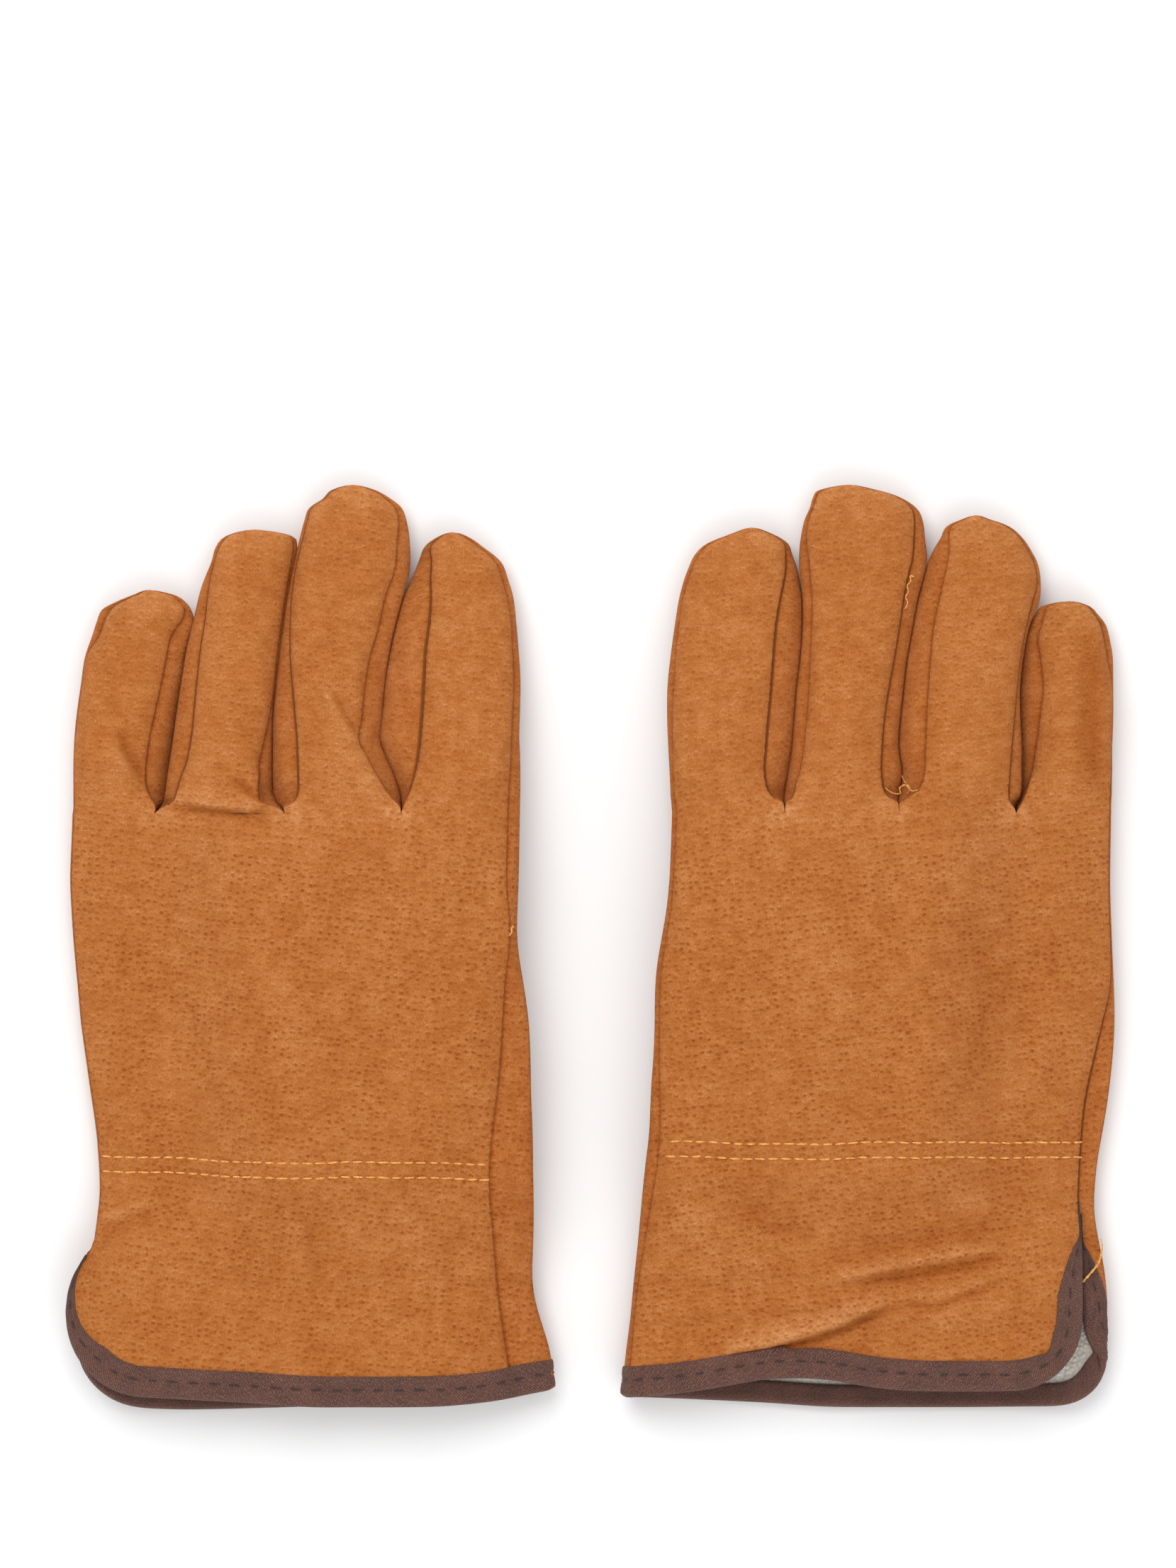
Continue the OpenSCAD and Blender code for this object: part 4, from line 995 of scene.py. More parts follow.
def crotch_normals(grid, normals, outer_column):
    """Leans the strips' normals near a crotch as the back's, so that no inner face pokes through."""
    last = BACK + SIDE + PALM
    near = ease(CROTCH[1], CROTCH[1] - 5, grid[:, :, 1])
    strip_a, strip_b = range(last + 1, grid.shape[1]), range(BACK + 1, BACK + SIDE)
    for seam, beside, strip in ((0, 2, strip_a), (BACK, BACK - 2, strip_b)):
        if seam != outer_column:
            for at in (seam, (seam + beside) // 2, *strip):
                lean = near[:, at] * np.clip(1 - (grid[:, seam, 2] - grid[:, at, 2]) / 2, 0, 1)
                normals[:, at] += lean[:, None] * (normals[:, beside] - normals[:, at])
    return normals / np.linalg.norm(normals, axis=2, keepdims=True)


def stall_shading(glove, finger, grid, outer, outer_column):
    """Shading normals of a stall. They go on from the hand's, and from the back's at a shut crotch."""
    first, last = FINGER_ORDER.index(finger), BACK + SIDE + PALM
    shown = surface_normals(outer, glove["side"] < 0)
    shown[-1, :BACK + 1] = glove["seam_normals"][first * BACK:(first + 1) * BACK + 1]
    if finger == "index":
        shown[-1, BACK:BACK + SIDE + 1] = glove["seam_normals"][BACKS:BACKS + SIDE + 1]
    for seam, beside, edge in ((0, 2, last + SIDE // 2), (BACK, BACK - 2, BACK + SIDE // 2)):
        if seam != outer_column:
            shut = (np.abs(grid[:, seam, 0] - grid[:, edge, 0]) < 0.6) & (grid[:, seam, 1] < BEND[0])
            shown[shut, seam] = shown[shut, beside]
            shown[shut, (seam + beside) // 2] = shown[shut, beside]
    return shown


def build_finger(glove, finger):
    """The leather and fleece of a stall."""
    name, side = glove["name"], glove["side"]
    grid, room = finger_surface(glove, finger)
    flip = side < 0
    cols, last = grid.shape[1], BACK + SIDE + PALM
    _, (tip_y, _) = FINGERS[name][finger]
    bend = knuckle_bend(glove, finger)
    # The little finger and the index finger have an outer side, which the palm leather wraps round
    outer_column = {"little": 0, "index": BACK}.get(finger)
    normals = crotch_normals(grid, surface_normals(grid, flip), outer_column)

    own = ease(VALLEY[0] + 1.4, VALLEY[0] + 4, grid[:, :, 1])
    uv = leather_uv(grid, BACK // 2, side)
    inner_columns = [at for at in (0, BACK, BACK + SIDE, last) if at != outer_column]
    depth = seam_grooves(uv, grid[:, :, 1], inner_columns) * own
    if outer_column is not None:
        depth = np.maximum(depth, seam_grooves(uv, grid[:, :, 1], [outer_column]))
    outer = grid - normals * np.minimum(depth, room * 0.3)[..., None]
    inner = inside(grid, normals, LEATHER, room)
    _, worn_and_painted_light = folds(glove, grid[:, :, 0], grid[:, :, 1])
    # The fold tone stays on the back; the seam grooves are painted darker, as painted shade
    worn_and_painted_light = np.where(np.arange(cols) <= BACK, worn_and_painted_light, 0) - depth * 3
    worn_and_painted_light = worn_and_painted_light + 0.3 * ease(tip_y - 12, tip_y, grid[:, :, 1]) * (np.arange(cols) <= BACK)
    shared = dict(normals=stall_shading(glove, finger, grid, outer, outer_column), uv=uv, worn_and_painted_light=worn_and_painted_light)

    column = np.arange(cols)
    sides = {"index": (column >= BACK) & (column < BACK + SIDE), "little": column >= last}
    palm_cells, fork_cells = (column >= BACK + SIDE) & (column < last), np.zeros(cols, bool)
    for outermost, cells in sides.items():
        if finger == outermost:
            palm_cells |= cells
        else:
            fork_cells |= cells
    fork = "fourchettes" if finger in ("middle", "ring") else "fourchette"
    full = np.ones((len(grid) - 1, 1), bool)
    parts = (
        ("back_suede", column < BACK, SUEDE, "suede_leather",
         (f"{name}_{finger}_back", f"{name}_knuckle_leather")),
        ("palm_suede", palm_cells, PALM_SUEDE, "palm_leather", (f"{name}_{finger}_palm",)),
        (f"{fork}_suede", fork_cells, PALM_SUEDE, "palm_leather", (f"{name}_{finger}_{fork}",)),
    )
    for label, cells, material, slot, nodes in parts:
        piece = wall(f"{name}_{finger}_{label}", outer, inner, full & cells, flip, **shared)
        dress(piece, material, slot, None, *nodes)
        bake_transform(piece)
    # The seams' thread runs from above the crotch to short of the tip
    sewn = (grid[:, 0, 1] > 44) & (grid[:, 0, 1] < tip_y - 5)
    glove.setdefault("seams", {})[finger] = ([outer[sewn][:, at] + normals[sewn][:, at] * 0.12
                                              for at in (0, BACK) if at != outer_column], bend)
    finger_fleece(glove, finger, grid, normals, room)


def finger_fleece(glove, finger, grid, normals, room):
    """The fleece of a stall, which leaves out the cells at a crotch, where it has no room."""
    name, y = glove["name"], grid[:, :, 1]
    cols, last = grid.shape[1], BACK + SIDE + PALM
    _, (tip_y, _) = FINGERS[name][finger]
    near_crotch = np.flatnonzero(grid[:, 0, 1] < FLEECE_SINKS[0])
    pick = np.unique(np.r_[np.arange(0, near_crotch[0], 2), near_crotch])
    calm = under_folds(grid, BACK)
    calm = grid + (calm - grid) * ease(0, 12, tip_y - y)[..., None]
    sunk = np.interp(np.arange(cols), [0, BACK, BACK + SIDE, last, cols], [2.2, 2.2, 0, 0, 2.2])
    calm[:, :, 2] -= sunk * ease(*FLEECE_SINKS, y)
    face = inside(calm, normals, LEATHER + 0.1, room)[pick][:, ::2]
    pile = inside(calm, normals, LINING, room)[pick][:, ::2]
    at_crotch = grid[pick[1:], 0, 1] < FLEECE_ENDS
    fleece_keep = np.ones((len(pick) - 1, cols // 2), bool)
    if finger != "index":
        fleece_keep[at_crotch, BACK // 2 - 5:(BACK + SIDE) // 2] = False
    if finger != "little":
        fleece_keep[at_crotch, last // 2:] = False
        fleece_keep[at_crotch, :5] = False
    fleece = wall(f"{name}_{finger}_fleece", face, pile, fleece_keep, glove["side"] < 0)
    dress(fleece, FLEECE, "fleece_lining", None, f"{name}_{finger}_lining", f"{name}_knuckle_lining")
    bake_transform(fleece)


for glove in GLOVES:
    for finger in FINGER_ORDER:
        build_finger(glove, finger)


# ---- The thumbs ----
# Both thumbs lie folded flat under their palms. Each is two pieces of leather round a fleece
# stall, and a gusset turns from the hole in the palm into it.

THUMB_ROUND = 40       # columns round a thumb
THUMB_TALL = 11
THUMB_TURN = 50        # degrees from the fingers to a thumb folded under its palm
THUMB_START, THUMB_TIP, THUMB_BEND = 13, 57.6, 42.5     # where it starts, ends and begins to round off


def thumb_place(glove, points):
    """From a thumb's own axes, with +Y towards its tip, to its place under the palm."""
    axis = joint_place(f"{glove['name']}_thumb_swing")
    turn = glove["side"] * math.radians(THUMB_TURN)
    x, y = points[..., 0], points[..., 1]
    return np.stack([axis[0] + x * math.cos(turn) - y * math.sin(turn),
                     axis[1] + x * math.sin(turn) + y * math.cos(turn), points[..., 2]], -1)


def ring(centre, half_w, half_h, tilt, square=0.78):
    """A rounded section, upright at tilt 0 and level at tilt 90."""
    a = np.linspace(0, 2 * np.pi, THUMB_ROUND, endpoint=False)
    across = half_w * np.sign(np.cos(a)) * np.abs(np.cos(a)) ** square
    up = half_h * np.sign(np.sin(a)) * np.abs(np.sin(a)) ** square
    tilt = math.radians(tilt)
    return np.stack([centre[0] + across, centre[1] - up * math.sin(tilt),
                     centre[2] + up * math.cos(tilt)], -1)


def thumb_surface():
    """The outer face of a thumb in its own axes, from its root to its tip."""
    rows, room = [], []
    for t in np.linspace(0, 1, 40):
        reach = THUMB_START + (THUMB_TIP - THUMB_START) * (1 - (1 - t) ** 1.25)
        v = np.clip((reach - THUMB_BEND) / (THUMB_TIP - THUMB_BEND), 0, 1)
        cap = max(0.01, (1 - v**2.3) ** (1 / 2.3))
        half_w = np.interp(reach, [THUMB_START, 34, 58], [15.4, 14.4, 12.2]) * cap
        half_h = (THUMB_TALL - 0.6 * t) / 2 * cap**0.85
        rows.append(ring((0, reach, THUMB_TALL / 2 - 0.3 * t), half_w, half_h, 0))
        room.append(np.full(THUMB_ROUND, half_h))
    grid = np.array(rows)
    upper = np.clip(grid[:, :, 2] / 5 - 0.2, 0, 1)
    soft = 0.25 * waves(grid[:, :, 0], grid[:, :, 1], 77, 17)
    grid[:, :, 2] += soft * upper * np.linspace(1, 0, len(grid))[:, None]
    return grid, np.array(room)


def gusset_surface():
    """The gusset in the thumb's axes, from level in the palm's hole to upright at the thumb."""
    rows = []
    for t in np.linspace(0, 1, 14):
        tilt = 90 * (1 - t)
        centre = (0, THUMB_START * math.sin(t * math.pi / 2), 5.5 + 5.4 * math.cos(t * math.pi / 2))
        rows.append(ring(centre, 11.2 + 4.2 * t, 10.7 - 5.2 * ease(0, 1, t), tilt))
    grid = np.array(rows)
    grid[:, :, 2] = np.clip(grid[:, :, 2], 0.3, 11.3)
    return grid


def thumb_uv(local):
    """Distances in centimetres round a piece of the thumb and along it."""
    uv = leather_uv(local, THUMB_ROUND // 4, 1)
    along = np.cumsum(np.linalg.norm(np.diff(local, axis=0), axis=2), 0)
    uv[:, :, 1] = np.vstack([np.zeros((1, THUMB_ROUND)), along]) * 0.1
    return uv


def build_thumb(glove):
    """A thumb's two pieces of leather, its fleece, and its gusset."""
    name = glove["name"]
    local, room = thumb_surface()
    grid = thumb_place(glove, local)
    normals = surface_normals(grid, False)
    inner = inside(grid, normals, LEATHER, room)
    seam = np.zeros(THUMB_ROUND)
    seam[[0, THUMB_ROUND // 2]] = 0.45
    outer = grid - normals * np.minimum(seam, room * 0.3)[..., None]
    uv = thumb_uv(local)
    # Its two seam grooves are painted darker, as painted shade
    worn_and_painted_light = np.broadcast_to(seam * -1.2, grid.shape[:2])
    column = np.arange(THUMB_ROUND)
    full = np.ones((len(grid) - 1, 1), bool)
    for label, cells in (("inner", column < THUMB_ROUND // 2), ("outer", column >= THUMB_ROUND // 2)):
        piece = wall(f"{name}_thumb_{label}_suede", outer, inner, full & cells, False,
                     normals=normals, uv=uv, worn_and_painted_light=worn_and_painted_light)
        dress(piece, PALM_SUEDE, "palm_leather", f"{name}_thumb", f"{name}_thumb_{label}")
    face, pile = (inside(grid, normals, depth, room) for depth in (LEATHER + 0.06, LINING))
    fleece = wall(f"{name}_thumb_fleece", face, pile, full & (column >= 0), False)
    dress(fleece, FLEECE, "fleece_lining", f"{name}_thumb", f"{name}_thumb_lining")

    turned = gusset_surface()
    root = thumb_place(glove, turned)
    root_normals = surface_normals(root, False)
    root_inner = root - root_normals * 1.1
    gusset = wall(f"{name}_thumb_gusset", root, root_inner, np.ones((len(root) - 1, THUMB_ROUND), bool),
                  False, uv=thumb_uv(turned), worn_and_painted_light=np.zeros(root.shape[:2]))
    dress(gusset, PALM_SUEDE, "palm_leather", None, f"{name}_thumb_root")
    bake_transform(gusset)


for glove in GLOVES:
    build_thumb(glove)


# ---- The wrist elastic ----
# A band of white woven elastic lies on the inside of the back's wrist, against the lining. It is
# sewn down stretched, so it gathers the leather over it.

# The elastic is white polyester over rubber cords. To the eye it has fine, even ribs across it, with painted
# shade in the grooves between them.
WAVE = math.pi / 10        # distance between the bands of a wave texture of scale 1
RIB = 0.75                 # mm from rib to rib


def elastic_material():
    """White, with painted shade in the grooves between its ribs."""
    material, tree = new_finish("white_elastic")
    place = node(tree, "ShaderNodeTexCoord").outputs["Object"]
    ribs = node(tree, "ShaderNodeTexWave", {"Vector": place, "Scale": WAVE * 1000 / RIB, "Distortion": 0.3},
                bands_direction="X").outputs["Fac"]
    # The greyer colour is the painted shade in the grooves
    colour = node(tree, "ShaderNodeMix", {0: ribs, 6: srgb("#cfcabd"), 7: srgb("#f1eee5")},
                  data_type="RGBA")
    close_finish(tree, colour.outputs[2], 0.8, ribs, 0.0003, 0.1)
    return material


ELASTIC = elastic_material()


def build_elastic(glove):
    """The band across the back of the wrist, a little further in where the leather is gathered."""
    name = glove["name"]
    plain, _ = hand_rows(glove)
    rows = np.flatnonzero(np.abs(plain - glove["wrist"]) < 3.6)
    cols = np.arange(4, BACKS - 3)
    pick = np.ix_(rows, cols)
    grid, normals, room = glove["grid"][pick], glove["normals"][pick], glove["room"][pick]
    gather = 0.25 * np.sin(grid[:, :, 0] * 2.1)
    top = inside(grid, normals, LINING + 0.35 + gather, room)
    low = inside(grid, normals, LINING + 1.25 + gather, room)
    band = wall(f"{name}_elastic_band", top, low, np.ones((len(rows) - 1, len(cols) - 1), bool),
                glove["side"] < 0)
    dress(band, ELASTIC, "wrist_elastic", f"{name}_hand", f"{name}_wrist_elastic")


for glove in GLOVES:
    build_elastic(glove)


# ---- The cuff binding ----
# Dark brown twill tape, folded over the raw edge of leather and lining. It starts at the top of
# the vent, runs down the back's edge, round the corner and along the hem, and back on the palm.

TAPE_PITCH = 5.5       # mm from stitch to stitch of the lockstitch
# Section of the tape as (distance from the edge, height over the leather): outer, then inner face.
# The dip at 4.1 is where the lockstitch pulls it in.
TAPE_OUTER = [
    (7.8, 0.12), (7.7, 0.45), (7.0, 0.62), (5.6, 0.6), (4.6, 0.44), (4.1, 0.34), (3.6, 0.44),
    (2.6, 0.62), (1.3, 0.7), (0.4, 0.6), (-0.3, 0.2), (-0.6, -0.6), (-0.6, -1.8), (-0.3, -2.6),
    (0.5, -3.0), (2.5, -3.06), (4.1, -2.8), (5.8, -3.04), (7.3, -2.98), (7.6, -2.6),
]
TAPE_INNER = [
    (7.7, 0.03), (7.5, 0.05), (7.0, 0.06), (5.6, 0.06), (4.6, 0.05), (4.1, 0.05), (3.6, 0.05),
    (2.6, 0.06), (1.3, 0.06), (0.6, 0.04), (0.25, -0.12), (-0.1, -0.7), (-0.1, -1.7), (0.25, -2.25),
    (0.6, -2.42), (2.5, -2.45), (4.1, -2.45), (5.8, -2.45), (7.3, -2.46), (7.4, -2.5),
]


STITCH_DIP = 5         # the point of the section at that dip

# The tape is cotton twill, dyed dark brown and faded where it rubs. To the eye it has fine slanting
# ribs with paler threads on them, and painted shade in the grooves between them. A real rib is 0.4 mm wide;
# it is drawn coarser, so that it shows.
TWILL = 0.582                  # mm from rib to rib
TAPE_THREAD = (0.25, 0.625)    # mm across and along a thread of the tape
FADED = 7.7                    # mm across a faded patch


def tape_material():
    """Dark brown, with painted shade in the grooves between the ribs, and paler threads faded by wear."""
    material, tree = new_finish("brown_twill_tape")
    place = node(tree, "ShaderNodeUVMap", uv_map="leather_cm").outputs[0]
    slanting = node(tree, "ShaderNodeMapping", {"Vector": place, "Rotation": (0, 0, 0.75)})
    twill = node(tree, "ShaderNodeTexWave", {
        "Vector": slanting.outputs[0], "Scale": WAVE * 10 / TWILL, "Distortion": 0.9, "Detail": 2.0,
        "Detail Scale": 9.0}, bands_direction="X").outputs["Fac"]
    along_threads = node(tree, "ShaderNodeMapping", {
        "Vector": place, "Scale": (10 / TAPE_THREAD[0], 10 / TAPE_THREAD[1], 1), "Rotation": (0, 0, -0.8)})
    threads = node(tree, "ShaderNodeTexNoise", {
        "Vector": along_threads.outputs[0], "Scale": 1.0, "Detail": 3.0, "Roughness": 0.7}).outputs[0]
    patches = node(tree, "ShaderNodeTexNoise", {
        "Vector": place, "Scale": 10 / FADED, "Detail": 4.0, "Roughness": 0.6}).outputs[0]
    colour = srgb("#5c372d")
    # The darkest colour is the painted shade in the twill's grooves
    for value, low, high, least, most, paint in ((patches, 0.3, 0.7, 0.0, 1.0, "#76493c"),
                                                 (twill, 0.2, 0.8, 0.75, 0.0, "#32201b"),
                                                 (threads, 0.45, 0.72, 0.0, 0.6, "#ab8a7c")):
        share = node(tree, "ShaderNodeMapRange", {0: value, 1: low, 2: high, 3: least, 4: most},
                     interpolation_type="SMOOTHSTEP")
        colour = node(tree, "ShaderNodeMix", {0: share.outputs[0], 6: colour, 7: srgb(paint)},
                      data_type="RGBA").outputs[2]
    height = 0.0
    for value, weight in ((twill, 0.8), (threads, 0.5)):
        height = node(tree, "ShaderNodeMath", {0: value, 1: weight, 2: height},
                      operation="MULTIPLY_ADD").outputs[0]
    close_finish(tree, colour, 0.75, height, 0.0003, 0.22, "#c9a79c")
    return material


TAPE = tape_material()


def glove_tree(glove):
    """A search tree over the outer face of the hand, in millimetres."""
    grid, keep = glove["grid"], glove["keep"]
    rows, cols = grid.shape[:2]
    index = np.arange(rows * cols).reshape(rows, cols)
    right = np.roll(index, -1, 1)
    quads = np.stack([index[:-1], index[1:], right[1:], right[:-1]], 2)[keep]
    if glove["side"] < 0:
        quads = quads[:, ::-1]
    return BVHTree.FromPolygons(grid.reshape(-1, 3).tolist(), quads.tolist())


def even_path(points, gap):
    """The path as points an even gap apart, and how far along it each one is."""
    steps = np.r_[0, np.cumsum(np.linalg.norm(np.diff(points, axis=0), axis=1))]
    at = np.linspace(0, steps[-1], int(steps[-1] / gap) + 1)
    return np.stack([np.interp(at, steps, points[:, k]) for k in range(3)], 1), at


def softened(values, reach, passes=2):
    """The rows of values, each averaged with its neighbours within a reach."""
    for _ in range(passes):
        bell = np.exp(-0.5 * (np.arange(-3 * reach, 3 * reach + 1) / reach) ** 2)
        padded = np.pad(values, ((3 * reach, 3 * reach), (0, 0)), mode="reflect", reflect_type="odd")
        values = np.stack([np.convolve(padded[:, k], bell / bell.sum(), mode="valid")
                           for k in range(values.shape[1])], 1)
    return values


def edge_frame(glove, gap=0.8):
    """The folded edge as a path, with the leather's normal and the direction into the leather."""
    grid, normals, top = glove["grid"], glove["normals"], glove["slit_row"]
    line = np.concatenate([grid[top:, 0], grid[-1, 1:-1], grid[top:, -1][::-1]])
    normal = np.concatenate([normals[top:, 2], normals[-2, 1:-1], normals[top:, -3][::-1]])
    steps = np.r_[0, np.cumsum(np.linalg.norm(np.diff(line, axis=0), axis=1))]
    path, at = even_path(line, gap)
    normal = np.stack([np.interp(at, steps, normal[:, k]) for k in range(3)], 1)
    path, normal = softened(path, 2), softened(normal, 3)
    along = np.gradient(path, axis=0)
    along /= np.linalg.norm(along, axis=1, keepdims=True)
    into = np.cross(normal, along) * glove["side"]
    into /= np.linalg.norm(into, axis=1, keepdims=True)
    normal = np.cross(along, into) * glove["side"]
    return path, normal, into, at


def tape_point(tree, path, normal, into, reach, rise):
    """Points on the leather at a distance from its edge, lifted along the leather's own normal."""
    points = []
    for p, n, t, lift in zip(path, normal, into, np.broadcast_to(rise, (len(path), 1))[:, 0]):
        if reach > 0.3:
            place, face_normal, _, _ = tree.find_nearest(Vector(p + t * reach))
            points.append(np.array(place) + np.array(face_normal) * lift)
        else:
            points.append(p + t * reach + n * lift)
    return np.array(points)


def build_binding(glove):
    """The tape round the vent and the hem, narrow at its two ends and puffed between its stitches."""
    name = glove["name"]
    tree = glove_tree(glove)
    path, normal, into, at = edge_frame(glove)
    from_palm_top = at[-1] - at
    ends = glove["tape"]
    grown = np.clip((at - ends["back_top"]) / ends["back_grows"], 0, 1) ** ends["bend"]
    if ends["corner"]:
        grown = grown * (1 - 0.27 * np.clip(1 - np.abs(at - ends["corner"]) / 11, 0, 1) ** 2)
    grown_palm = np.clip((from_palm_top - ends["palm_top"]) / ends["palm_grows"], 0, 1) ** 0.8
    narrow = np.where(at < at[-1] / 2, 0.08 + 0.92 * grown, 0.08 + 0.92 * grown_palm)[:, None]
    inner_width = np.where(at < at[-1] / 2, 0.9, 0.72 - 0.16 * ease(46, 30, from_palm_top))[:, None]
    puff = (1 + 0.16 * np.cos(2 * np.pi * at / TAPE_PITCH) + 0.1 * waves(at, at * 0, 3, 13))[:, None]
    faces = []
    for section in (TAPE_OUTER, TAPE_INNER):
        columns = []
        for reach, rise in section:
            under_lining = rise < -2.3
            width = narrow * (inner_width if under_lining else 1.0)
            thick = np.minimum(1, 0.35 + narrow)
            if under_lining:
                deep = tape_point(tree, path, normal, into * width, reach, rise * thick)
                columns.append(softened(deep, 1, 1))
            else:
                wide = softened(tape_point(tree, path, normal, into * width, reach, 0), 1, 1)
                columns.append(wide + normal * rise * (puff if rise > 0.3 else 1.0) * thick)
        faces.append(np.stack(columns, 1))
    outer, inner = faces
    around = np.cumsum([0, *[math.dist(a, b) for a, b in zip(TAPE_OUTER, TAPE_OUTER[1:])]])
    uv = np.stack(np.broadcast_arrays(at[:, None], around[None, :]), 2) * 0.1
    tape = wall(f"{name}_tape", outer, inner, np.ones((len(at) - 1, len(TAPE_OUTER) - 1), bool),
                glove["side"] > 0, uv=uv)
    dress(tape, TAPE, "binding_tape", f"{name}_hand", f"{name}_cuff_binding")
    glove["tape_seam"] = outer[:, STITCH_DIP] + normal * 0.1
    glove["tree"] = tree


for glove in GLOVES:
    build_binding(glove)


# ---- The stitching ----
# Two rows of golden thread hold the elastic, a dark lockstitch holds the binding, and tan thread
# closes the finger seams. Each row is a line on the leather, along which Geometry Nodes sets stitches.

# The threads are spun polyester. To the eye each has a dull gloss and painted shade between its strands,
# which lie 0.2 mm apart; they are drawn coarser, so that they show.
STRAND = 0.385             # mm from strand to strand


def thread_material(name, base, strand_shade):
    """Thread of a base colour, with painted shade between its strands."""
    material, tree = new_finish(name)
    place = node(tree, "ShaderNodeTexCoord").outputs["Object"]
    strands = node(tree, "ShaderNodeTexNoise", {"Vector": place, "Scale": 1000 / STRAND, "Detail": 1.0})
    share = node(tree, "ShaderNodeMapRange", {0: strands.outputs[0], 1: 0.3, 2: 0.7},
                 interpolation_type="SMOOTHSTEP")
    colour = node(tree, "ShaderNodeMix", {0: share.outputs[0], 6: srgb(strand_shade), 7: srgb(base)},
                  data_type="RGBA")
    close_finish(tree, colour.outputs[2], 0.6, strands.outputs[0], 0.0001, 0.15)
    return material


# The second colour of each thread is the painted shade between its strands
GOLD = thread_material("golden_thread", "#f5b862", "#c98436")
BROWN = thread_material("dark_brown_thread", "#46302a", "#241613")
SEAM = thread_material("seam_thread", "#8a4a1a", "#4e260e")


def stitch_nodes():
    """Geometry Nodes that set one rounded stitch at every pitch along a line of edges."""
    group = bpy.data.node_groups.new("stitch_row", "GeometryNodeTree")
    face = group.interface
    face.new_socket("Geometry", in_out="INPUT", socket_type="NodeSocketGeometry")
    for label, kind, value in (("Pitch", "Float", 0.0034), ("Length", "Float", 0.0026),
                               ("Thread radius", "Float", 0.0003), ("Unevenness", "Float", 0.1),
                               ("Seed", "Int", 1)):
        socket = face.new_socket(label, in_out="INPUT", socket_type="NodeSocket" + kind)
        socket.default_value = value
    face.new_socket("Thread", in_out="INPUT", socket_type="NodeSocketMaterial")
    face.new_socket("Geometry", in_out="OUTPUT", socket_type="NodeSocketGeometry")

    given = node(group, "NodeGroupInput").outputs
    line = node(group, "GeometryNodeMeshToCurve", {"Mesh": given["Geometry"]})
    points = node(group, "GeometryNodeResampleCurve", {"Curve": line.outputs[0], "Length": given["Pitch"]},
                  mode="LENGTH")
    bead = node(group, "GeometryNodeMeshUVSphere", {"Segments": 10, "Rings": 8, "Radius": 1.0})
    tangent = node(group, "GeometryNodeInputTangent")
    along = node(group, "FunctionNodeAlignRotationToVector", {"Vector": tangent.outputs[0]}, axis="X")
    turn = node(group, "FunctionNodeRandomValue", {
        "Min": (0, -0.02, -0.09), "Max": (0, 0.02, 0.09), "Seed": given["Seed"]}, data_type="FLOAT_VECTOR")
    turned = node(group, "FunctionNodeRotateRotation", {
        "Rotation": along.outputs[0], "Rotate By": turn.outputs[0]}, rotation_space="LOCAL")
    low, high = [node(group, "ShaderNodeMath", {0: 1.0, 1: given["Unevenness"]}, operation=way).outputs[0]
                 for way in ("SUBTRACT", "ADD")]
    vary = node(group, "FunctionNodeRandomValue", {2: low, 3: high, "Seed": given["Seed"]},
                data_type="FLOAT")
    half = node(group, "ShaderNodeMath", {0: given["Length"], 1: 0.5}, operation="MULTIPLY")
    long = node(group, "ShaderNodeMath", {0: half.outputs[0], 1: vary.outputs[1]}, operation="MULTIPLY")
    size = node(group, "ShaderNodeCombineXYZ", {
        0: long.outputs[0], 1: given["Thread radius"], 2: given["Thread radius"]})
    beads = node(group, "GeometryNodeInstanceOnPoints", {
        "Points": points.outputs[0], "Instance": bead.outputs[0], "Rotation": turned.outputs[0],
        "Scale": size.outputs[0]})
    solid = node(group, "GeometryNodeRealizeInstances", {"Geometry": beads.outputs[0]})
    smooth = node(group, "GeometryNodeSetShadeSmooth", {0: solid.outputs[0]})
    done = node(group, "GeometryNodeSetMaterial", {
        "Geometry": smooth.outputs[0], "Material": given["Thread"]})
    node(group, "NodeGroupOutput", {"Geometry": done.outputs[0]})
    return group


STITCH_ROW = stitch_nodes()


def stitches(name, lines, material, **settings):
    """One plain mesh of the stitches along the lines, which are in millimetres."""
    points, edges = [], []
    for line in lines:
        edges += [(len(points) + k, len(points) + k + 1) for k in range(len(line) - 1)]
        points += (np.asarray(line) * 0.001).tolist()
    mesh = bpy.data.meshes.new(name)
    mesh.from_pydata(points, edges, [])
    rows = bpy.data.objects.new(name + "_rows", mesh)
    bpy.context.collection.objects.link(rows)
    modifier = rows.modifiers.new("stitches", "NODES")
    modifier.node_group = STITCH_ROW
    sockets = STITCH_ROW.interface.items_tree
    inputs = {item.name: item.identifier for item in sockets if item.in_out == "INPUT"}
    for key, value in {"Thread": material, **settings}.items():
        modifier[inputs[key.replace("_", " ")]] = value
    bpy.context.view_layer.update()
    evaluated = rows.evaluated_get(bpy.context.evaluated_depsgraph_get())
    made = bpy.data.meshes.new_from_object(evaluated)
    bpy.data.objects.remove(rows)
    piece = bpy.data.objects.new(name, made)
    bpy.context.collection.objects.link(piece)
    return piece


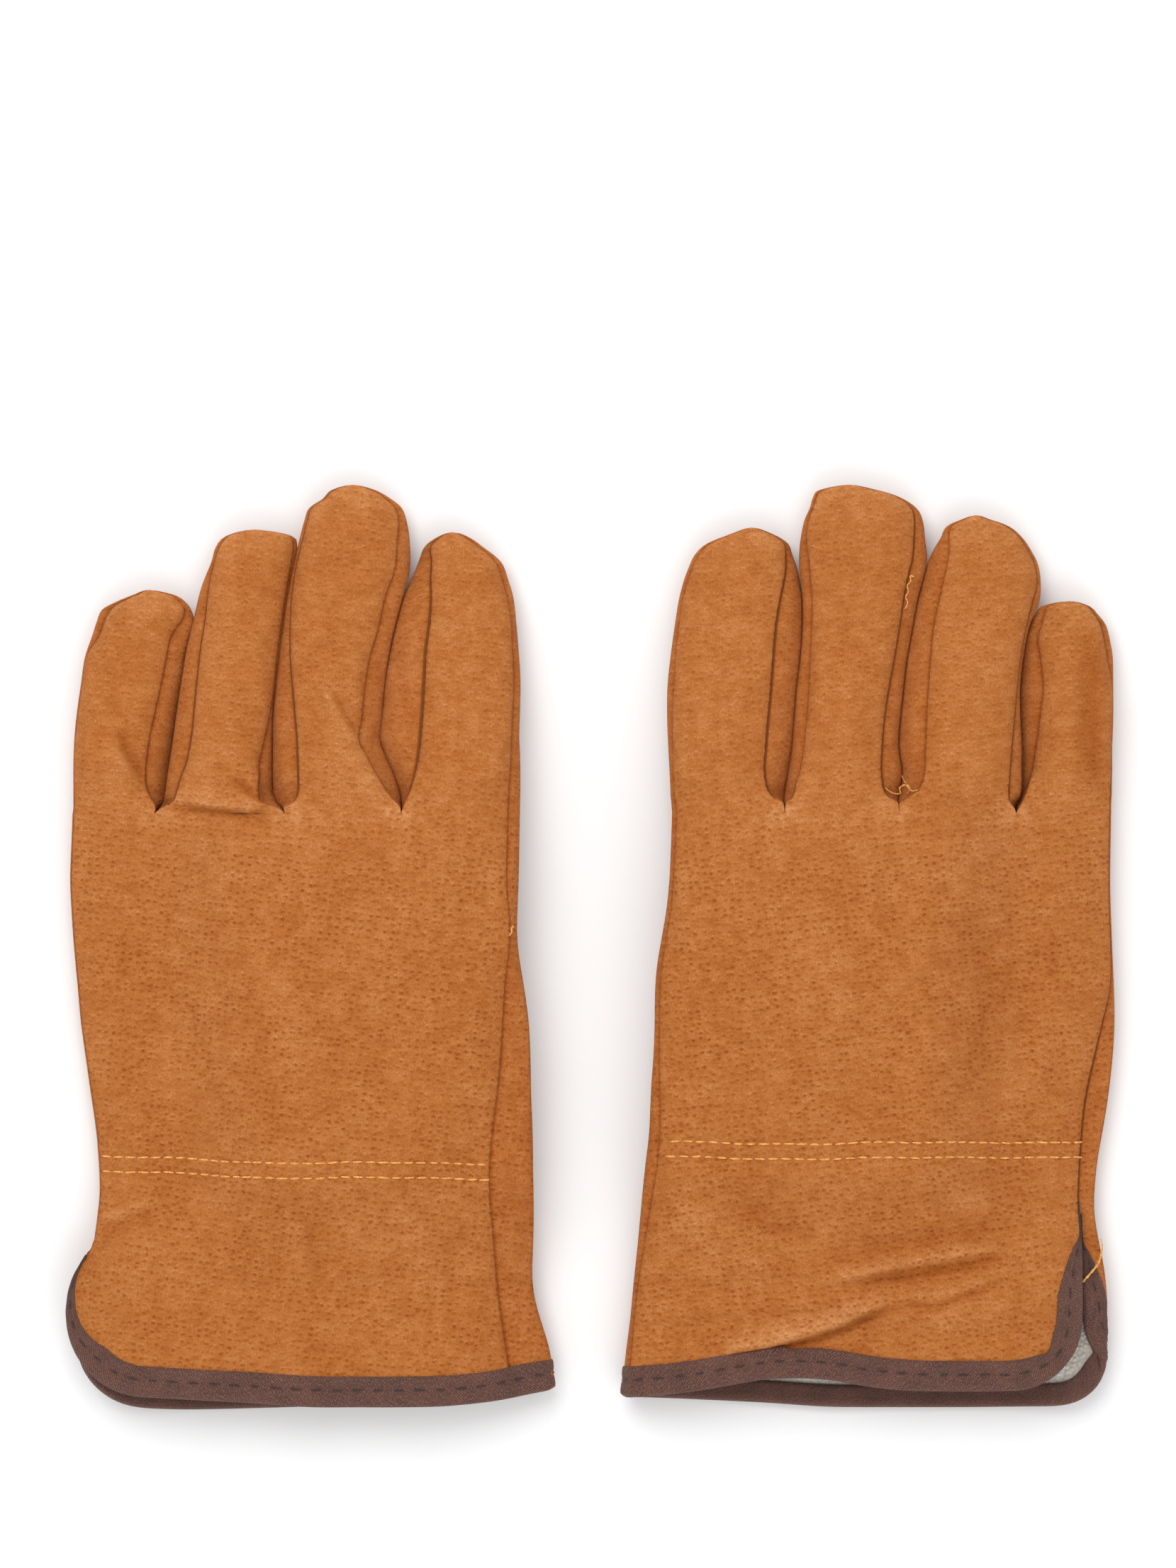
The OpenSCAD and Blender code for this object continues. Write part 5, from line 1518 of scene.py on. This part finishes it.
def thread_end(name, points, radius, material):
    """A loose end of thread through the points, which are in millimetres."""
    path = np.array(points, float)
    fine = np.linspace(0, len(path) - 1, 12 * (len(path) - 1) + 1)
    path = np.stack([np.interp(fine, np.arange(len(path)), path[:, k]) for k in range(3)], 1)
    path = softened(path, 3)
    along = np.gradient(path, axis=0)
    along /= np.linalg.norm(along, axis=1, keepdims=True)
    side = np.cross(along, (0, 0, 1))
    side /= np.linalg.norm(side, axis=1, keepdims=True)
    up = np.cross(side, along)
    turns = np.linspace(0, 2 * np.pi, 9)[:-1]
    thin = radius * (1 + 0.25 * np.sin(fine * 9))[:, None, None]
    round_it = side[:, None] * np.cos(turns)[:, None] + up[:, None] * np.sin(turns)[:, None]
    outer = path[:, None] + thin * round_it
    inner = path[:, None] + 0.15 * (outer - path[:, None])
    piece = wall(name, outer, inner, np.ones((len(path) - 1, 8), bool), False)
    piece.data.materials.append(material)
    return piece


# Threads left hanging on the right glove, and at the left one's thumb seam: the glove and part that
# each hangs from, its radius, its line, and how far its free end stands off the leather
LOOSE_THREADS = (
    ("right", "hand", 0.3,
     [(133.4, -90.3), (134.8, -88.8), (136.9, -86.4), (137.8, -84.9), (138.2, -83.4)], 0.8),
    ("right", "hand", 0.16,
     [(137.4, -85.6), (138.1, -84), (138.6, -81.9), (138.7, -80.2), (138.2, -78.5)], 1.2),
    ("right", "hand", 0.15, [(136.9, -86.2), (137.9, -84.6), (138.1, -83.2), (138.3, -81.6)], 0.9),
    ("right", "hand", 0.17,
     [(79.6, 43), (81.6, 41.4), (84.2, 41.2), (83.2, 43), (85.4, 44.2), (86.6, 41.8), (88.4, 42.4)], 0.6),
    ("right", "hand", 0.15, [(84.4, 46.4), (85.2, 44.2), (86.8, 43.2), (85.8, 41.4)], 0.8),
    ("right", "middle", 0.17,
     [(85.4, 91.2), (86.4, 93), (85.2, 94.4), (86.6, 95.8), (85.6, 97.6), (87.2, 98.4), (86.6, 100.4),
      (87.8, 99.8)], 0.4),
    ("left", "hand", 0.22, [(-21.2, 3.4), (-20.2, 4.4), (-20.8, 5.2), (-20, 5.9)], 0.4),
)


def on_back(glove, x, y, rise):
    """The point over (x, y) on the back of the hand, lifted by a rise."""
    place, normal, _, _ = glove["tree"].ray_cast(Vector((x, y, 80)), Vector((0, 0, -1)))
    return np.array(place) + np.array(normal) * rise


def on_top(x, y, rise):
    """The point over (x, y) on whatever leather or tape lies uppermost, lifted by a rise."""
    high_up, down = Vector((x, y, 100)) * 0.001, Vector((0, 0, -1))
    _, place, *_ = bpy.context.scene.ray_cast(bpy.context.evaluated_depsgraph_get(), high_up, down)
    return np.array((x, y, place.z * 1000 + rise))


def build_stitching(glove):
    """The two wrist rows, the lockstitch on the binding and the fine stitches of the finger seams."""
    name, side = glove["name"], glove["side"]
    first, last = {"left": (-129.8, -27.4), "right": (132.0, 22.0)}[name]
    rows = []
    for row, cut in ((2.0, 0.9), (-2.0, 0.0)):
        xs = np.arange(first, last - side * cut, side * 0.6)
        rows.append([on_back(glove, x, float(wrist_line(glove, x)) + row, 0.08) for x in xs])
    gold = stitches(f"{name}_wrist_thread", rows, GOLD, Pitch=0.0034, Length=0.0029,
                    Thread_radius=0.00029, Unevenness=0.14, Seed=3)
    dress(gold, GOLD, "gold_thread", f"{name}_hand", f"{name}_wrist_stitching")
    brown = stitches(f"{name}_tape_thread", [glove["tape_seam"][4:-4]], BROWN, Pitch=TAPE_PITCH / 1000,
                     Length=0.003, Thread_radius=0.00027, Unevenness=0.15, Seed=7)
    dress(brown, BROWN, "brown_thread", f"{name}_hand", f"{name}_binding_stitching")
    for finger, (lines, bend) in glove["seams"].items():
        sewn = stitches(f"{name}_{finger}_seam_thread", lines, SEAM, Pitch=0.0026, Length=0.0013,
                        Thread_radius=0.00017, Unevenness=0.3, Seed=5)
        dress(sewn, SEAM, "brown_thread", None, f"{name}_{finger}_back")
        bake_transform(sewn)


for glove in GLOVES:
    build_stitching(glove)
for number, (name, part, radius, line, rise) in enumerate(LOOSE_THREADS):
    lifts = radius + rise * np.linspace(0.3, 1, len(line))
    points = np.array([on_top(x, y, lift) for (x, y), lift in zip(line, lifts)])
    points[:, 2] = np.maximum.accumulate(points[:, 2])
    piece = thread_end(f"{name}_loose_thread_{number}", points, radius, GOLD)
    stands_for = f"{name}_wrist_stitching" if part == "hand" else f"{name}_{part}_back"
    dress(piece, GOLD, "gold_thread", f"{name}_{part}", stands_for)


# ---- The studio ----
# A seamless white table of matt paper, lit softly by two square lamps and by a white surround. The
# camera looks straight down, from so high that the sides of the gloves don't show.

TABLE_LEVEL = -0.0004      # just under the leather, so that none of it lies in the table's own plane
bpy.ops.mesh.primitive_plane_add(size=6, location=(0, 0, TABLE_LEVEL))
table_top = bpy.context.object
table_top.name = "white_table"
paper, paper_tree = new_finish("white_paper")
close_finish(paper_tree, srgb("#f4f4f4"), 0.9, 0.0, 0.0)
table_top.data.materials.append(paper)

for label, place, size, power in (("key", (-0.35, 0.8, 1.2), 1.1, 10.8),
                                  ("fill", (0.2, -1.2, 1.1), 1.3, 7.2)):
    light = bpy.data.objects.new(label, bpy.data.lights.new(label, "AREA"))
    light.data.size = size
    light.data.energy = power
    light.location = place
    light.rotation_euler = (-Vector(place)).to_track_quat("-Z", "Y").to_euler()
    bpy.context.collection.objects.link(light)

world = bpy.context.scene.world or bpy.data.worlds.new("studio")
bpy.context.scene.world = world
world.use_nodes = True
world.node_tree.nodes["Background"].inputs[0].default_value = (1, 1, 1, 1)
world.node_tree.nodes["Background"].inputs[1].default_value = 0.8

HEIGHT_SEEN = 0.4228       # what the camera sees from bottom to top
MIDDLE_SEEN = 0.044        # y of the middle of that
CAMERA_HIGH = 2.0          # how far it stands over the gloves
camera = bpy.data.objects.new("camera", bpy.data.cameras.new("camera"))
camera.data.sensor_width = 36
camera.data.lens = 36 * CAMERA_HIGH / HEIGHT_SEEN
camera.location = (0, MIDDLE_SEEN, CAMERA_HIGH + 0.01)
bpy.context.collection.objects.link(camera)
bpy.context.scene.camera = camera
bpy.context.scene.view_settings.view_transform = "Standard"
